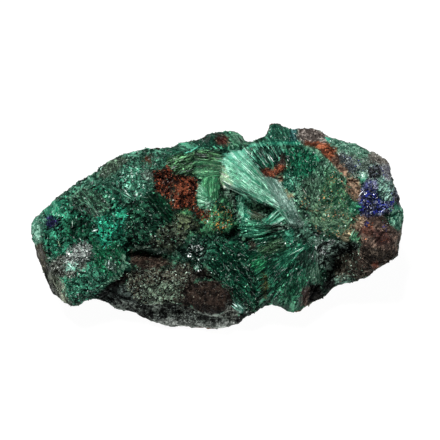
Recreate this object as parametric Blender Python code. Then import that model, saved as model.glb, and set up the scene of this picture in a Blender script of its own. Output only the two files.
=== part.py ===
"""A hand specimen of azurite with malachite, about 90 mm long, as one solid.

The rock is one broken lump: limonite matrix, overgrown by malachite whose fibres spread from one
point, with a nest of azurite crystals at its right end. It lies on its underside, on z = 0, with
its broken face turned towards -Y and tilted up.

Its forms are drawn on the face plane, in millimetres: u runs to the right along the rock, v runs up
the face and w comes out of it. Each form is a rounded block over its own outline. The forms are
fused, worn by hollows and flat breaks, combed into ridges where the malachite's fibres spread,
roughened, cut flat underneath, and overgrown with azurite crystals that are fused to the rock.
"""

import math
from typing import NamedTuple

import bmesh
import bpy
import numpy as np
from mathutils import Matrix, Vector, noise
from mathutils.bvhtree import BVHTree

MM = 0.001

# Driving dimensions
FACE_TILT = math.radians(38)  # how far the broken face looks up
REST_DEPTH = 20.4  # from the face plane's origin straight down to the surface it rests on
REST_SHIFT = (0.4, 2.9)  # from the face plane's origin to the middle of the box, along X and Y
FORM_DETAIL = 5  # subdivisions of the sphere that each form starts from
FUSE_CELL = 0.75  # size of the cells that the forms are fused in
CLEAN_CELL = 0.6  # size of the cells that clear the worn rock of folds
SHORTEST_EDGE = 0.005  # points closer than this are made one
ROCK_TRIANGLES = 7800  # of the rock before its crystals
SEED = 7


class Form(NamedTuple):
    """A rounded block over an outline on the face plane, in millimetres."""

    name: str
    centre: tuple  # u, v
    middle: float  # w of its widest section
    front: float  # from the middle out of the face
    back: float  # from the middle into the rock
    squareness: float  # 2 is an ellipse, and more is squarer
    lean: tuple  # how much w grows with each mm of u and of v
    outline: tuple  # (u, v) points


FORMS = (
    Form("core", (0, 0), -2, 9.5, 18.5, 2.5, (0, 0), (
        (-45.3, -0.3), (-43.7, 3.3), (-41.4, 5.3), (-40.4, 6.7), (-35.3, 10.7), (-30.7, 12.7),
        (-26.7, 16.4), (-22, 18.3), (-15, 19.6), (-12.4, 19.3), (-7.5, 20.6), (-1.5, 22.6),
        (2, 23.4), (5.9, 22.6), (6.7, 20.2), (9.6, 21.2), (11.1, 20.8), (12.2, 23.2), (13.3, 25.5),
        (17, 24.2), (18.1, 23.2), (21.5, 24.2), (25, 23.6), (27.2, 21.8), (33.5, 20), (41.8, 16),
        (42, 14.8), (43.7, 9.6), (45, 5.5), (45.1, -1), (44, -7.4), (40.3, -9.2), (37.5, -11.7),
        (32, -13.9), (29.4, -14.3), (25.6, -17.4), (23, -17.9), (18.6, -20.6), (13.3, -18.9),
        (8, -21.5), (5, -24.1), (-1.5, -25.2), (-12, -24.2), (-16, -23.4), (-20.5, -20.8),
        (-25, -19.9), (-29.3, -17.7), (-36.5, -19), (-40.9, -15.3), (-42.8, -11), (-44.7, -4.5),
    )),
    Form("left lump", (-33, -3), 0, 12.6, 12, 4.4, (0.10, -0.05), (
        (-45, -0.3), (-43.3, 3), (-40.1, 6.3), (-35, 10.2), (-28.5, 13.8), (-24, 12), (-22.4, 6),
        (-21.4, 0), (-21.2, -6), (-22, -10), (-24.5, -12.8), (-31.5, -17.6), (-34.6, -19.9),
        (-36.8, -19.2), (-40.9, -15.2), (-42.8, -11), (-44.8, -4.5),
    )),
    Form("upper ridge", (-11, 8), 0, 14.4, 12, 3.6, (0.05, -0.07), (
        (-28, 13), (-26.4, 15.6), (-22, 17.7), (-15, 19), (-7.5, 20), (-1.5, 22), (4.5, 22.5),
        (6, 20), (4, 15), (4, 10), (5.5, 5), (5, 0), (2, -4), (-2.5, -7), (-6, -7.6),
        (-10, -5.3), (-14, -6.4), (-18, -5.9), (-21, -4.6), (-24.5, 0), (-27, 8),
    )),
    Form("left shoulder", (-26, 6), 0, 12.4, 12, 3.0, (0.08, -0.08), (
        (-38, 7), (-30, 12.6), (-26.4, 15.6), (-20, 17.6), (-13, 16), (-12, 6), (-16, -3),
        (-24, -5), (-31, -1),
    )),
    Form("speckled shelf", (-15, -13), 0, 10.5, 9, 3.4, (0.05, 0.0), (
        (-25, -9), (-12, -6), (-7, -8), (-4, -12), (-5, -17), (-9, -18.6), (-15, -18.9),
        (-19, -18.4), (-24, -17.5), (-27.5, -15.8),
    )),
    Form("brown dome", (-1, -17), 0, 12, 10, 2.5, (0, 0), (
        (-7, -16), (-5, -12.6), (-1, -12), (3, -13.8), (4.8, -17), (4.2, -20), (1, -22.2),
        (-3, -22), (-6, -20),
    )),
    Form("green slope", (3.5, -11), 0, 12.5, 9, 3.2, (0.02, 0.05), (
        (-6, -6), (0, -3), (7, -2), (11, -6), (12, -17), (8, -20.6), (4.5, -21), (3.4, -15.5),
        (0, -12.6), (-4, -11),
    )),
    Form("fan", (19, 2.5), -1, 15.5, 10, 4.6, (-0.06, 0.10), (
        (2.4, 9.4), (0.2, 14.6), (2.5, 17.5), (5, 19.8), (8, 20.4), (14, 20.5), (20, 20.1),
        (24, 18.6), (27.2, 16), (29.7, 13.2), (31.2, 10.5), (33.2, 7.6), (34.8, 5), (33.2, 1.5),
        (33, -3.4), (29, -3.2), (25, -4.5), (24.2, -8), (24.6, -13), (22, -14.5), (20.6, -18),
        (18.4, -20.4), (14, -18.6), (11, -17.6), (9.4, -12), (7.6, -8), (8.8, -4), (5.4, -1.5),
        (5.2, 4), (5.4, 7.8),
    )),
    Form("pale blade", (10.5, 12), 5, 11.8, 8, 6, (0.06, -0.10), (
        (2.6, 9.4), (0.2, 14.7), (2.5, 17.3), (4.5, 18.9), (8.2, 19.2), (11, 15.5), (15.5, 10.5),
        (19.5, 6), (21.5, 3), (19.5, 2), (14.6, 4.5), (8.4, 7.3),
    )),
    Form("right block", (35, 4), -2, 11.5, 12, 3, (-0.05, 0.04), (
        (22, 21), (26.8, 21.4), (33.5, 19.5), (41.3, 15.6), (43.3, 9.5), (44.6, 5), (44.6, -2.5),
        (43.4, -7), (40, -8.8), (37, -11.2), (33, -12.6), (30, -10), (28.5, -3), (27, 6),
        (25, 14),
    )),
    Form("brown lump", (38.3, -2.6), 0, 12.6, 8, 2.4, (0, 0), (
        (32.3, -0.5), (34.2, 2.9), (38, 3.9), (41.6, 2.4), (44, -1), (43.3, -6.8), (40, -8.6),
        (36.8, -10.4), (33.6, -8.4), (32.4, -4.6),
    )),
    Form("top knob", (15, 21), -4, 7, 6, 3.2, (0, 0), (
        (10.4, 19), (11.6, 22.4), (13.2, 25.7), (17, 24.6), (18.6, 23), (19, 19.2), (15, 17.5),
    )),
    Form("left back block", (-18, 5), -12, 6, 14.5, 2.8, (0, 0), (
        (-38, 3), (-33, 10), (-22, 15), (-6, 16), (4, 9), (1, -3), (-16, -7), (-31, -5),
    )),
    Form("right back block", (13, 7), -12, 6, 16, 2.8, (0, 0), (
        (-8, 5), (-3, 15), (13, 19), (27, 16), (32, 7), (27, -3), (10, -6), (-5, -3),
    )),
    Form("right back knuckle", (33, 2), -8, 6, 10, 3, (0, 0), (
        (23, 8), (31, 14), (39.5, 9), (41, -2), (35, -9), (25, -6),
    )),
)


class Hollow(NamedTuple):
    """A hollow in the face, worn back along w inside an outline, or raised where it is negative."""

    name: str
    depth: float
    edge: float  # width of its wall
    outline: tuple  # (u, v) points


HOLLOWS = (
    Hollow("under the blade", 6.5, 1.2, (
        (6.6, 7.6), (9, 7), (14.2, 4.4), (13, 2.2), (9.5, 0.8), (6.4, 2.6), (5.8, 5),
    )),
    Hollow("rusty hollow in the fan", 4.2, 1.6, (
        (8.6, 19.2), (14.2, 19.7), (16.6, 17.4), (17, 14.4), (14.6, 12.6), (12, 12.4),
        (9.9, 13.8), (8.8, 16.5),
    )),
    Hollow("rust pit", 2.6, 1.4, (
        (-15.6, 13.4), (-12, 15), (-10, 13), (-4.6, 12), (-5, 8), (-4.8, 4.8), (-1.5, 3.4),
        (-3.5, 1.9), (-6, 4), (-11, 4), (-12.2, 7), (-14.6, 9),
    )),
    Hollow("small pale fan", -1.6, 0.8, (
        (-4.9, 7), (-4, 9.2), (-2.8, 11.6), (0.6, 12), (0.9, 8.2), (-1, 6.8), (-2.5, 4.4),
        (-4.4, 4.6),
    )),
    Hollow("crevice over the shelf", 4.0, 1.4, (
        (-21, -5.6), (-14, -6.5), (-9.6, -5.4), (-9, -7), (-14, -8.6), (-21.6, -8),
    )),
    Hollow("undercut of the shelf", 3.2, 1.4, (
        (-21, -18.9), (-15, -19), (-7, -18.8), (-6.2, -20.6), (-13, -21.6), (-19, -20.6),
    )),
    Hollow("cleft in the fan", 3.0, 0.9, (
        (9.5, -2.6), (12, -1.3), (16, -0.4), (16.2, -1.4), (15, -2.8), (11, -3.6),
    )),
    Hollow("gap beside the left lump", 3.5, 1.6, (
        (-22.4, -11.5), (-20.4, -12), (-23, -15.6), (-29.6, -17.6), (-25.6, -13.8),
    )),
    Hollow("dark nook", 6.0, 1.6, (
        (24.8, -6), (28, -4.6), (34.4, -4.2), (33.4, -6.6), (31.4, -9.4), (32.4, -11.6),
        (28.8, -12.8), (25.2, -12.6),
    )),
    Hollow("azurite pocket", 2.4, 1.2, (
        (35.6, 11.6), (38.4, 15.2), (40.6, 14), (41, 10), (42.4, 6), (39, 5), (35, 5.4),
        (34.6, 8.4),
    )),
    Hollow("round pit on the ridge", 1.4, 0.8, (
        (-0.2, 21), (0.8, 22.4), (2.6, 22.5), (3, 21), (1.8, 19.9), (0.2, 20),
    )),
    Hollow("rust gully behind the fan", 1.8, 1.2, (
        (21, 21), (25, 20.6), (28.6, 17.6), (31.6, 13.6), (34.4, 11), (34.8, 7.4), (32.4, 9.6),
        (29.4, 14.4), (26, 18.4),
    )),
)


class Roughness(NamedTuple):
    """One scale of the broken surface."""

    size: float  # of a lump
    height: float


ROUGHNESS = (Roughness(9.0, 0.9), Roughness(3.6, 0.55), Roughness(1.7, 0.28))


class Comb(NamedTuple):
    """Ridges of malachite that spread from one point over an area of the face."""

    name: str
    heart: tuple  # (u, v) that the ridges spread from
    height: float  # from a ridge's foot to its top
    spacing: float  # degrees between ridges
    step: float  # how far a ridge runs before it breaks off
    outline: tuple  # (u, v) points


COMBS = (
    Comb("fan", (22.5, 0.5), 1.5, 9, 11, (
        (8, 20.4), (14, 20.5), (20, 20.1), (24, 18.6), (27.2, 16), (31.2, 10.5), (34.8, 5),
        (33, -3.4), (25, -4.5), (24.6, -13), (18.4, -20.4), (11, -17.6), (7.6, -8), (8.8, -4),
        (5.4, -1.5), (5.2, 4), (14, 2.4), (20, 3), (15, 12), (8, 19.4),
    )),
    Comb("pale blade", (22.5, 0.5), 1.0, 6, 14, (
        (2.6, 9.4), (0.2, 14.7), (2.5, 17.3), (4.5, 18.9), (8.2, 19.2), (15.5, 11.5), (20, 5),
        (20, 2.6), (14.6, 4.5), (8.4, 7.3),
    )),
    Comb("band over the pit", (14, 12), 1.1, 8, 9, (
        (-11, 15.4), (-4, 19), (2, 19.2), (2.4, 16.6), (0.4, 13.4), (-4, 12.4), (-9.6, 13),
    )),
    Comb("green slope", (-8, 0), 1.2, 7, 9, (
        (-3, -8), (0, -3), (7, -3), (8, -9), (10, -13), (8, -20.6), (4.5, -21), (2.6, -14),
    )),
    Comb("green below the ridge", (-30, 12), 1.1, 7, 8, (
        (-22, 1), (-18, 8), (-13, 6), (-10, 0), (-9, -5), (-18, -5.6), (-22, -4),
    )),
    Comb("left lump", (-48, -14), 1.1, 6, 7, (
        (-41, -2), (-36, 5), (-29, 8), (-23, 4), (-22, -7), (-27, -12), (-31, -8), (-36, -3),
    )),
)

FACETS = 26  # flat breaks over the back
FACET_CUT = (1.2, 4.5)  # how deep each break bites into the rounded rock
LEFT_BREAK = ((-43.6, 2.0, 8.6), (-36.7, -17.0, 9.4), (-45.4, -4.5, 1.0))  # u, v, w on the left end

FLATS = 900  # triangles of the coarse copy that gives the rock its flat breaks
FLATNESS = 0.6  # how far the rock is drawn towards that copy

CRYSTALS = 52  # azurite crystals in the pocket
CRYSTAL_NEST = ((34.9, 2.6), (34.8, 9), (36.6, 14.4), (39.6, 13.6), (41.2, 9), (42, 5), (39, 2.2))
CRYSTAL_HEIGHT = (1.0, 2.0)  # over the rock
CRYSTAL_ROOT = 0.9  # how deep a crystal goes into the rock
CRYSTAL_WIDTH = (1.4, 2.2)
CRYSTAL_TIP = 0.55  # width of the top as a share of the foot's
CRYSTAL_FLATNESS = 0.6  # thickness as a share of the width
CRYSTAL_LEAN = 0.35  # spread of the crystals' directions around the rock's normal


def face_to_part():
    """The matrix from the face plane's u, v, w in millimetres to the part's frame in metres."""
    sin_tilt, cos_tilt = math.sin(FACE_TILT), math.cos(FACE_TILT)
    turn = Matrix(
        (
            (1, 0, 0, -REST_SHIFT[0]),
            (0, sin_tilt, -cos_tilt, -REST_SHIFT[1]),
            (0, cos_tilt, sin_tilt, REST_DEPTH),
            (0, 0, 0, 1),
        )
    )
    return Matrix.Scale(MM, 4) @ turn


def clear_scene():
    for thing in list(bpy.data.objects):
        bpy.data.objects.remove(thing)


def add_object(name, mesh):
    thing = bpy.data.objects.new(name, mesh)
    bpy.context.collection.objects.link(thing)
    return thing


def points_of(mesh):
    points = np.empty(len(mesh.vertices) * 3, np.float32)
    mesh.vertices.foreach_get("co", points)
    return points.reshape(-1, 3).astype(float)


def set_points(mesh, points):
    mesh.vertices.foreach_set("co", points.astype(np.float32).ravel())
    mesh.update()


def smooth_step(value, low, high):
    share = np.clip((value - low) / (high - low), 0, 1)
    return share * share * (3 - 2 * share)


def inside_distance(points, outline):
    """How far each (u, v) point is inside an outline; outside it the distance is negative."""
    corners = np.array(outline, float)
    nearest = np.full(len(points), np.inf)
    inside = np.zeros(len(points), bool)
    for start, end in zip(corners, np.roll(corners, -1, axis=0)):
        edge = end - start
        along = np.clip((points - start) @ edge / (edge @ edge), 0, 1)
        nearest = np.minimum(nearest, np.linalg.norm(points - start - along[:, None] * edge, axis=1))
        crosses = (start[1] > points[:, 1]) != (end[1] > points[:, 1])
        rise = edge[1] if edge[1] else 1e-9
        inside ^= crosses & (points[:, 0] < start[0] + (points[:, 1] - start[1]) * edge[0] / rise)
    return np.where(inside, nearest, -nearest)


def outline_reach(form, angles):
    """Distance from a form's centre to its outline along each angle."""
    corners = np.array(form.outline, float) - form.centre
    steps = np.linspace(0, 1, 16, endpoint=False)[:, None]
    ring = np.concatenate(
        [start + (end - start) * steps for start, end in zip(corners, np.roll(corners, -1, axis=0))]
    )
    ring_angle = np.arctan2(ring[:, 1], ring[:, 0])
    order = np.argsort(ring_angle)
    reach = np.hypot(ring[:, 0], ring[:, 1])
    return np.interp(angles, ring_angle[order], reach[order], period=2 * math.pi)


def make_form(form):
    """A sphere whose equator is stretched to the outline and whose poles reach front and back."""
    shape = bmesh.new()
    bmesh.ops.create_icosphere(shape, subdivisions=FORM_DETAIL, radius=1)
    mesh = bpy.data.meshes.new(form.name)
    shape.to_mesh(mesh)
    shape.free()
    ball = points_of(mesh)
    across, height = np.hypot(ball[:, 0], ball[:, 1]), np.abs(ball[:, 2])
    power = form.squareness
    scale = (across**power + height**power) ** (-1 / power)
    angles = np.arctan2(ball[:, 1], ball[:, 0])
    reach = outline_reach(form, angles) * across * scale
    u, v = reach * np.cos(angles), reach * np.sin(angles)
    depth = np.where(ball[:, 2] > 0, form.front, -form.back) * height * scale
    lean = (form.lean[0] * u + form.lean[1] * v) * smooth_step(ball[:, 2], 0, 0.5)
    w = form.middle + depth + lean
    set_points(mesh, np.stack([u + form.centre[0], v + form.centre[1], w], axis=1))
    return mesh


def evaluated_mesh(thing):
    """The object's mesh with its modifiers applied; the object itself is removed."""
    graph = bpy.context.evaluated_depsgraph_get()
    mesh = bpy.data.meshes.new_from_object(thing.evaluated_get(graph))
    bpy.data.objects.remove(thing)
    return mesh


def thinned(mesh, triangles):
    """The mesh of four-sided cells brought down to a number of triangles."""
    thing = add_object("thinned", mesh)
    thin_out = thing.modifiers.new("thin out", "DECIMATE")
    thin_out.ratio = triangles / (2 * len(mesh.polygons))
    return evaluated_mesh(thing)


def tree_of(mesh):
    shape = bmesh.new()
    shape.from_mesh(mesh)
    tree = BVHTree.FromBMesh(shape)
    shape.free()
    return tree


def one_skin(mesh, cell):
    """One closed skin around everything in the mesh, made of four-sided cells."""
    thing = add_object("skin", mesh)
    remesh = thing.modifiers.new("one skin", "REMESH")
    remesh.mode = "VOXEL"
    remesh.voxel_size = cell
    return evaluated_mesh(thing)


def fuse_forms():
    """All the forms as one closed skin, in face coordinates."""
    joined = bmesh.new()
    for form in FORMS:
        joined.from_mesh(make_form(form))
    mesh = bpy.data.meshes.new("forms")
    joined.to_mesh(mesh)
    joined.free()
    return one_skin(mesh, FUSE_CELL)


def wear_hollows(points, facing):
    """Sinks the hollows into what looks out of the face."""
    sink = np.zeros(len(points))
    for hollow in HOLLOWS:
        share = smooth_step(inside_distance(points[:, :2], hollow.outline), 0, hollow.edge)
        sink += hollow.depth * share
    points[:, 2] -= sink * smooth_step(facing, 0.0, 0.4)


def break_facets(points, rng):
    """Presses flat breaks into the back, clear of the face's outline."""
    for _ in range(FACETS):
        direction = rng.normal(size=3)
        direction[2] = -abs(direction[2]) - 0.5
        direction /= np.linalg.norm(direction)
        reach = points @ direction
        limit = reach.max() - rng.uniform(*FACET_CUT)
        points -= np.maximum(reach - limit, 0)[:, None] * direction


def break_left_end(points):
    """The flat, paler break that closes the left lump, between its outer edge and its face."""
    corner_a, corner_b, corner_c = (np.array(p) for p in LEFT_BREAK)
    normal = np.cross(corner_b - corner_a, corner_c - corner_a)
    normal /= np.linalg.norm(normal)
    normal *= -np.sign(normal[0])
    beyond = np.maximum((points - corner_a) @ normal, 0)
    points -= beyond[:, None] * normal


def chisel(mesh):
    """Draws the points towards a coarse copy of the rock, so that it breaks in flats."""
    tree = tree_of(thinned(mesh.copy(), FLATS))
    points = points_of(mesh)
    flat = np.array([tree.find_nearest(Vector(p))[0] for p in points])
    set_points(mesh, points + FLATNESS * (flat - points))


def comb_ridges(points, facing):
    """Raises ridges along the fibres, each breaking off where its step ends."""
    for comb in COMBS:
        share = smooth_step(inside_distance(points[:, :2], comb.outline), 0, 1.5)
        offset = points[:, :2] - comb.heart
        turn = np.degrees(np.arctan2(offset[:, 1], offset[:, 0])) / comb.spacing
        along = np.hypot(offset[:, 0], offset[:, 1]) / comb.step
        ridge = np.array([noise.noise(Vector((t, a, 0))) for t, a in zip(turn, along)])
        height = comb.height * (0.5 - np.abs(ridge) * 2) * smooth_step(along, 0, 0.6)
        points[:, 2] += height * share * smooth_step(facing, 0.1, 0.5)


def roughen(points, normals):
    """Moves the points along their normals by lumps of each size."""
    for scale in ROUGHNESS:
        height = np.array([noise.noise(Vector(p) / scale.size) for p in points])
        points += normals * (height * scale.height)[:, None]


def normals_of(mesh):
    normals = np.empty(len(mesh.vertices) * 3, np.float32)
    mesh.vertex_normals.foreach_get("vector", normals)
    return normals.reshape(-1, 3).astype(float)


def shape_rock(rng):
    """The fused, worn rock in face coordinates, before its crystals."""
    mesh = fuse_forms()
    points = points_of(mesh)
    wear_hollows(points, normals_of(mesh)[:, 2])
    break_facets(points, rng)
    break_left_end(points)
    set_points(mesh, points)
    chisel(mesh)
    mesh = one_skin(mesh, CLEAN_CELL)
    points = points_of(mesh)
    normals = normals_of(mesh)
    roughen(points, normals)
    comb_ridges(points, normals[:, 2])
    set_points(mesh, points)
    return thinned(mesh, ROCK_TRIANGLES)


def surface_at(tree, u, v):
    """The point and normal of the face at (u, v)."""
    point, normal, _, _ = tree.ray_cast(Vector((u, v, 60)), Vector((0, 0, -1)))
    return point, normal


def add_rod(shape, low, high):
    """A closed solid between two rings with the same number of corners."""
    first = [shape.verts.new(corner) for corner in low]
    second = [shape.verts.new(corner) for corner in high]
    shape.faces.new(list(reversed(first)))
    shape.faces.new(second)
    for i in range(len(first)):
        j = (i + 1) % len(first)
        shape.faces.new((first[i], first[j], second[j], second[i]))


def add_crystals(shape, tree, rng):
    """Six-sided azurite crystals that stand out of the pocket, each closed by a smaller top."""
    nest = np.array(CRYSTAL_NEST)
    places = rng.uniform(nest.min(axis=0), nest.max(axis=0), (4 * CRYSTALS, 2))
    places = places[inside_distance(places, CRYSTAL_NEST) > 0][:CRYSTALS]
    for place in places:
        foot, normal = surface_at(tree, *place)
        lean = Vector(rng.normal(0, CRYSTAL_LEAN, 3))
        axis = (normal + lean).normalized()
        across = axis.orthogonal().normalized()
        over = axis.cross(across) * CRYSTAL_FLATNESS
        radius, height = rng.uniform(*CRYSTAL_WIDTH) / 2, rng.uniform(*CRYSTAL_HEIGHT)
        corners = [
            across * math.cos(angle) + over * math.sin(angle)
            for angle in (math.pi / 3 * side for side in range(6))
        ]
        root, tip = foot - axis * CRYSTAL_ROOT, foot + axis * height
        low = [root + radius * corner for corner in corners]
        high = [tip + radius * CRYSTAL_TIP * corner for corner in corners]
        add_rod(shape, low, high)


def add_growths(rock_mesh, rng):
    """The rock with its crystals fused to it."""
    tree = tree_of(rock_mesh)
    shape = bmesh.new()
    add_crystals(shape, tree, rng)
    bmesh.ops.recalc_face_normals(shape, faces=shape.faces)
    growth_mesh = bpy.data.meshes.new("growths")
    shape.to_mesh(growth_mesh)
    shape.free()
    growths = add_object("growths", growth_mesh)
    rock = add_object("rock", rock_mesh)
    fuse = rock.modifiers.new("fuse growths", "BOOLEAN")
    fuse.operation = "UNION"
    fuse.object = growths
    fuse.solver = "EXACT"
    fuse.use_self = True
    fused = evaluated_mesh(rock)
    bpy.data.objects.remove(growths)
    return fused


def connected_pieces(shape):
    """The mesh's faces in sets that each hang together."""
    pieces, unseen = [], set(shape.faces)
    while unseen:
        reached = [unseen.pop()]
        for face in reached:
            beside = {other for edge in face.edges for other in edge.link_faces} & unseen
            unseen -= beside
            reached.extend(beside)
        pieces.append(reached)
    return pieces


def cut_flat(mesh):
    """Cuts off what would reach below the surface that the rock rests on."""
    shape = bmesh.new()
    shape.from_mesh(mesh)
    bmesh.ops.bisect_plane(
        shape,
        geom=shape.verts[:] + shape.edges[:] + shape.faces[:],
        plane_co=(0, 0, 0),
        plane_no=(0, 0, -1),
        clear_outer=True,
    )
    # The roofs of small dents in the underside are left loose by the cut
    pieces = sorted(connected_pieces(shape), key=len)
    dents = [face for piece in pieces[:-1] for face in piece]
    bmesh.ops.delete(shape, geom=dents, context="FACES")
    rim = [edge for edge in shape.edges if edge.is_boundary]
    bmesh.ops.edgeloop_fill(shape, edges=rim)
    bmesh.ops.remove_doubles(shape, verts=shape.verts, dist=SHORTEST_EDGE * MM)
    bmesh.ops.recalc_face_normals(shape, faces=shape.faces)
    shape.to_mesh(mesh)
    shape.free()


def rock_material():
    """Dark malachite green, the colour of most of the rock."""
    material = bpy.data.materials.new("malachite and matrix")
    material.use_nodes = True
    surface = material.node_tree.nodes["Principled BSDF"]
    surface.inputs["Base Color"].default_value = (0.03, 0.14, 0.09, 1)
    surface.inputs["Roughness"].default_value = 0.55
    surface.inputs["Metallic"].default_value = 0
    return material


def main():
    clear_scene()
    rng = np.random.default_rng(SEED)
    rock = add_growths(shape_rock(rng), rng)
    rock.transform(face_to_part())
    cut_flat(rock)
    specimen = add_object("azurite_malachite_specimen", rock)
    rock.materials.clear()
    rock.materials.append(rock_material())
    return specimen


main()
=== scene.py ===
"""The looks of the azurite with malachite specimen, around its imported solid.

The skin is the solid's own mesh made finer, roughened and coloured patch by patch. Splinters of
malachite fibre, broken grains and azurite crystals are laid on it as joined meshes. Places are given
on the face plane, in millimetres and as the camera sees them: u runs to the right along the rock, v
up the face, w out of it.
"""

import math
from typing import NamedTuple

import bmesh
import bpy
import numpy as np
from mathutils import Matrix, Vector, noise
from mathutils.bvhtree import BVHTree


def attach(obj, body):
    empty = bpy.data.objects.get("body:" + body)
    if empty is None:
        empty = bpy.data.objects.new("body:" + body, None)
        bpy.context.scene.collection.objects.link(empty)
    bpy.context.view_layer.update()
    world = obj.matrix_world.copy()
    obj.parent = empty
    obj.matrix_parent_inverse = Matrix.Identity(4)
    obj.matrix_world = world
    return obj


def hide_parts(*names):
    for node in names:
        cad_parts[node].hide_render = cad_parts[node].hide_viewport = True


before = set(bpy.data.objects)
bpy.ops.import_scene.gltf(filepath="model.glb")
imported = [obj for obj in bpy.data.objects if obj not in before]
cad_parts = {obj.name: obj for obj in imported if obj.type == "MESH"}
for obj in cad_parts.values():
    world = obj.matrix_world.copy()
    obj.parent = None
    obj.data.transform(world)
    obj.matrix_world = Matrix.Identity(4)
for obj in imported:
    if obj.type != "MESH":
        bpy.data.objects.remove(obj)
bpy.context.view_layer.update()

MM = 0.001
NODE = "azurite_malachite_specimen"
SEED = 11

# The face plane in the row frame, as in the solid's own source
FACE_TILT = math.radians(38)
REST_DEPTH = 20.4
REST_SHIFT = (0.4, 2.9)
UP = np.array((0, math.cos(FACE_TILT), math.sin(FACE_TILT)))  # the row's up, on the face's axes

# The camera looks straight at the face plane
LENS = 200  # mm
SENSOR = 36  # mm
VIEW_WIDTH = 106.7  # of the face plane, in mm
VIEW_CENTRE = (0.73, 1.7)
VIEW_END = 20  # m, past the floor's far edge

FLOOR_HALF = 3.0  # m
FLOOR_GREY = (0.08, 0.08, 0.08, 1)
FLOOR_GLOW = 0.97
WHITE = (1, 1, 1, 1)
KEY_LIGHT = ((-0.16, -0.26, 0.86), 12.6, 0.22)  # place in metres, watts, size
FILL_LIGHT = ((0.50, -0.65, 0.40), 0.5, 0.60)
WORLD_LIGHT = 0.06

SKIN_CELL = 0.65  # size of the skin's cells, which are halved where the face is seen
SEEN_FACING = 0.12  # least share of a vertex's normal along w where they are halved
SKIN_SMOOTHING = 3  # passes that take the solid's facets off the skin
CRACK_WIDTH = 0.09
CRACK_DEPTH = 0.55
PLAIN_GRAIN = 1.6  # grains to a mm in the plain rock
ACROSS_GRAIN = 3.2  # and across fibres
ALONG_GRAIN = 0.35  # and along them
FACE_GRID = 0.3  # spacing of the face's height readings
FACE_CORNERS = ((-48.0, -28.0), (48.0, 30.0))  # lowest and highest (u, v) of the readings
FACE_ABOVE = 60  # w from which they are taken
SURFACE_DEPTH = 0.6  # how far under its reading a vertex may be and still count as seen
PATCH_DEPTH = (-13.0, -5.0)  # w between which the face's patches come in over the plain rock
PATCH_FACING = (-0.1, 0.12)  # and how far out of the face the skin has to look for them
FIBRE_FRONT = 0.3  # frontness above which the skin takes a flow's fibres

FAN_HEART = (22.5, 0.5)  # where the great fan's fibres meet
BLADE_HEART = (20.8, 1.0)
LOWER_HEART = (24.4, -0.6)

# Areas of the face that are used twice
LUMP_STREAKS = (
    (-36, 7.2), (-32.6, 9.8), (-28.6, 8.4), (-25.4, 5.4), (-26.2, 2.8), (-29.4, 2.4),
    (-33, 3.4), (-35.6, 5),
)
TAN_BAND = ((31.6, 12), (34.8, 11.2), (35.2, 8), (34.6, 6), (33, 6.6), (31.4, 9))
GREEN_SLOPE = (
    (-3, -8), (0, -5), (6, -3.4), (8.2, -9), (9.4, -13), (9.4, -18.4), (8, -21.6), (5, -21.6),
    (3.4, -17), (2.4, -14.4), (-1, -11),
)


def face_to_row():
    """The matrix from the face plane's millimetres to the row frame's metres."""
    sin_tilt, cos_tilt = math.sin(FACE_TILT), math.cos(FACE_TILT)
    turn = Matrix(
        (
            (1, 0, 0, -REST_SHIFT[0]),
            (0, sin_tilt, -cos_tilt, -REST_SHIFT[1]),
            (0, cos_tilt, sin_tilt, REST_DEPTH),
            (0, 0, 0, 1),
        )
    )
    return Matrix.Scale(MM, 4) @ turn


def camera_distance():
    return LENS / SENSOR * VIEW_WIDTH


def as_seen(points):
    """Points of the rock moved to the (u, v) where the camera sees them."""
    spread = camera_distance() / (camera_distance() - points[:, 2:])
    flat = VIEW_CENTRE + (points[:, :2] - VIEW_CENTRE) * spread
    return np.concatenate([flat, points[:, 2:]], axis=1)


def as_built(points):
    """Seen points moved back to their true places."""
    spread = (camera_distance() - points[:, 2:]) / camera_distance()
    flat = VIEW_CENTRE + (points[:, :2] - VIEW_CENTRE) * spread
    return np.concatenate([flat, points[:, 2:]], axis=1)


# ---------------------------------------------------------------- colours


class Patch(NamedTuple):
    """An area of the face with its own darkest and lightest colour."""

    name: str
    dark: tuple  # red, green, blue out of 255
    light: tuple
    outline: tuple  # (u, v) points
    roughness: float = 1.0  # of the skin there, against the rest


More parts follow.
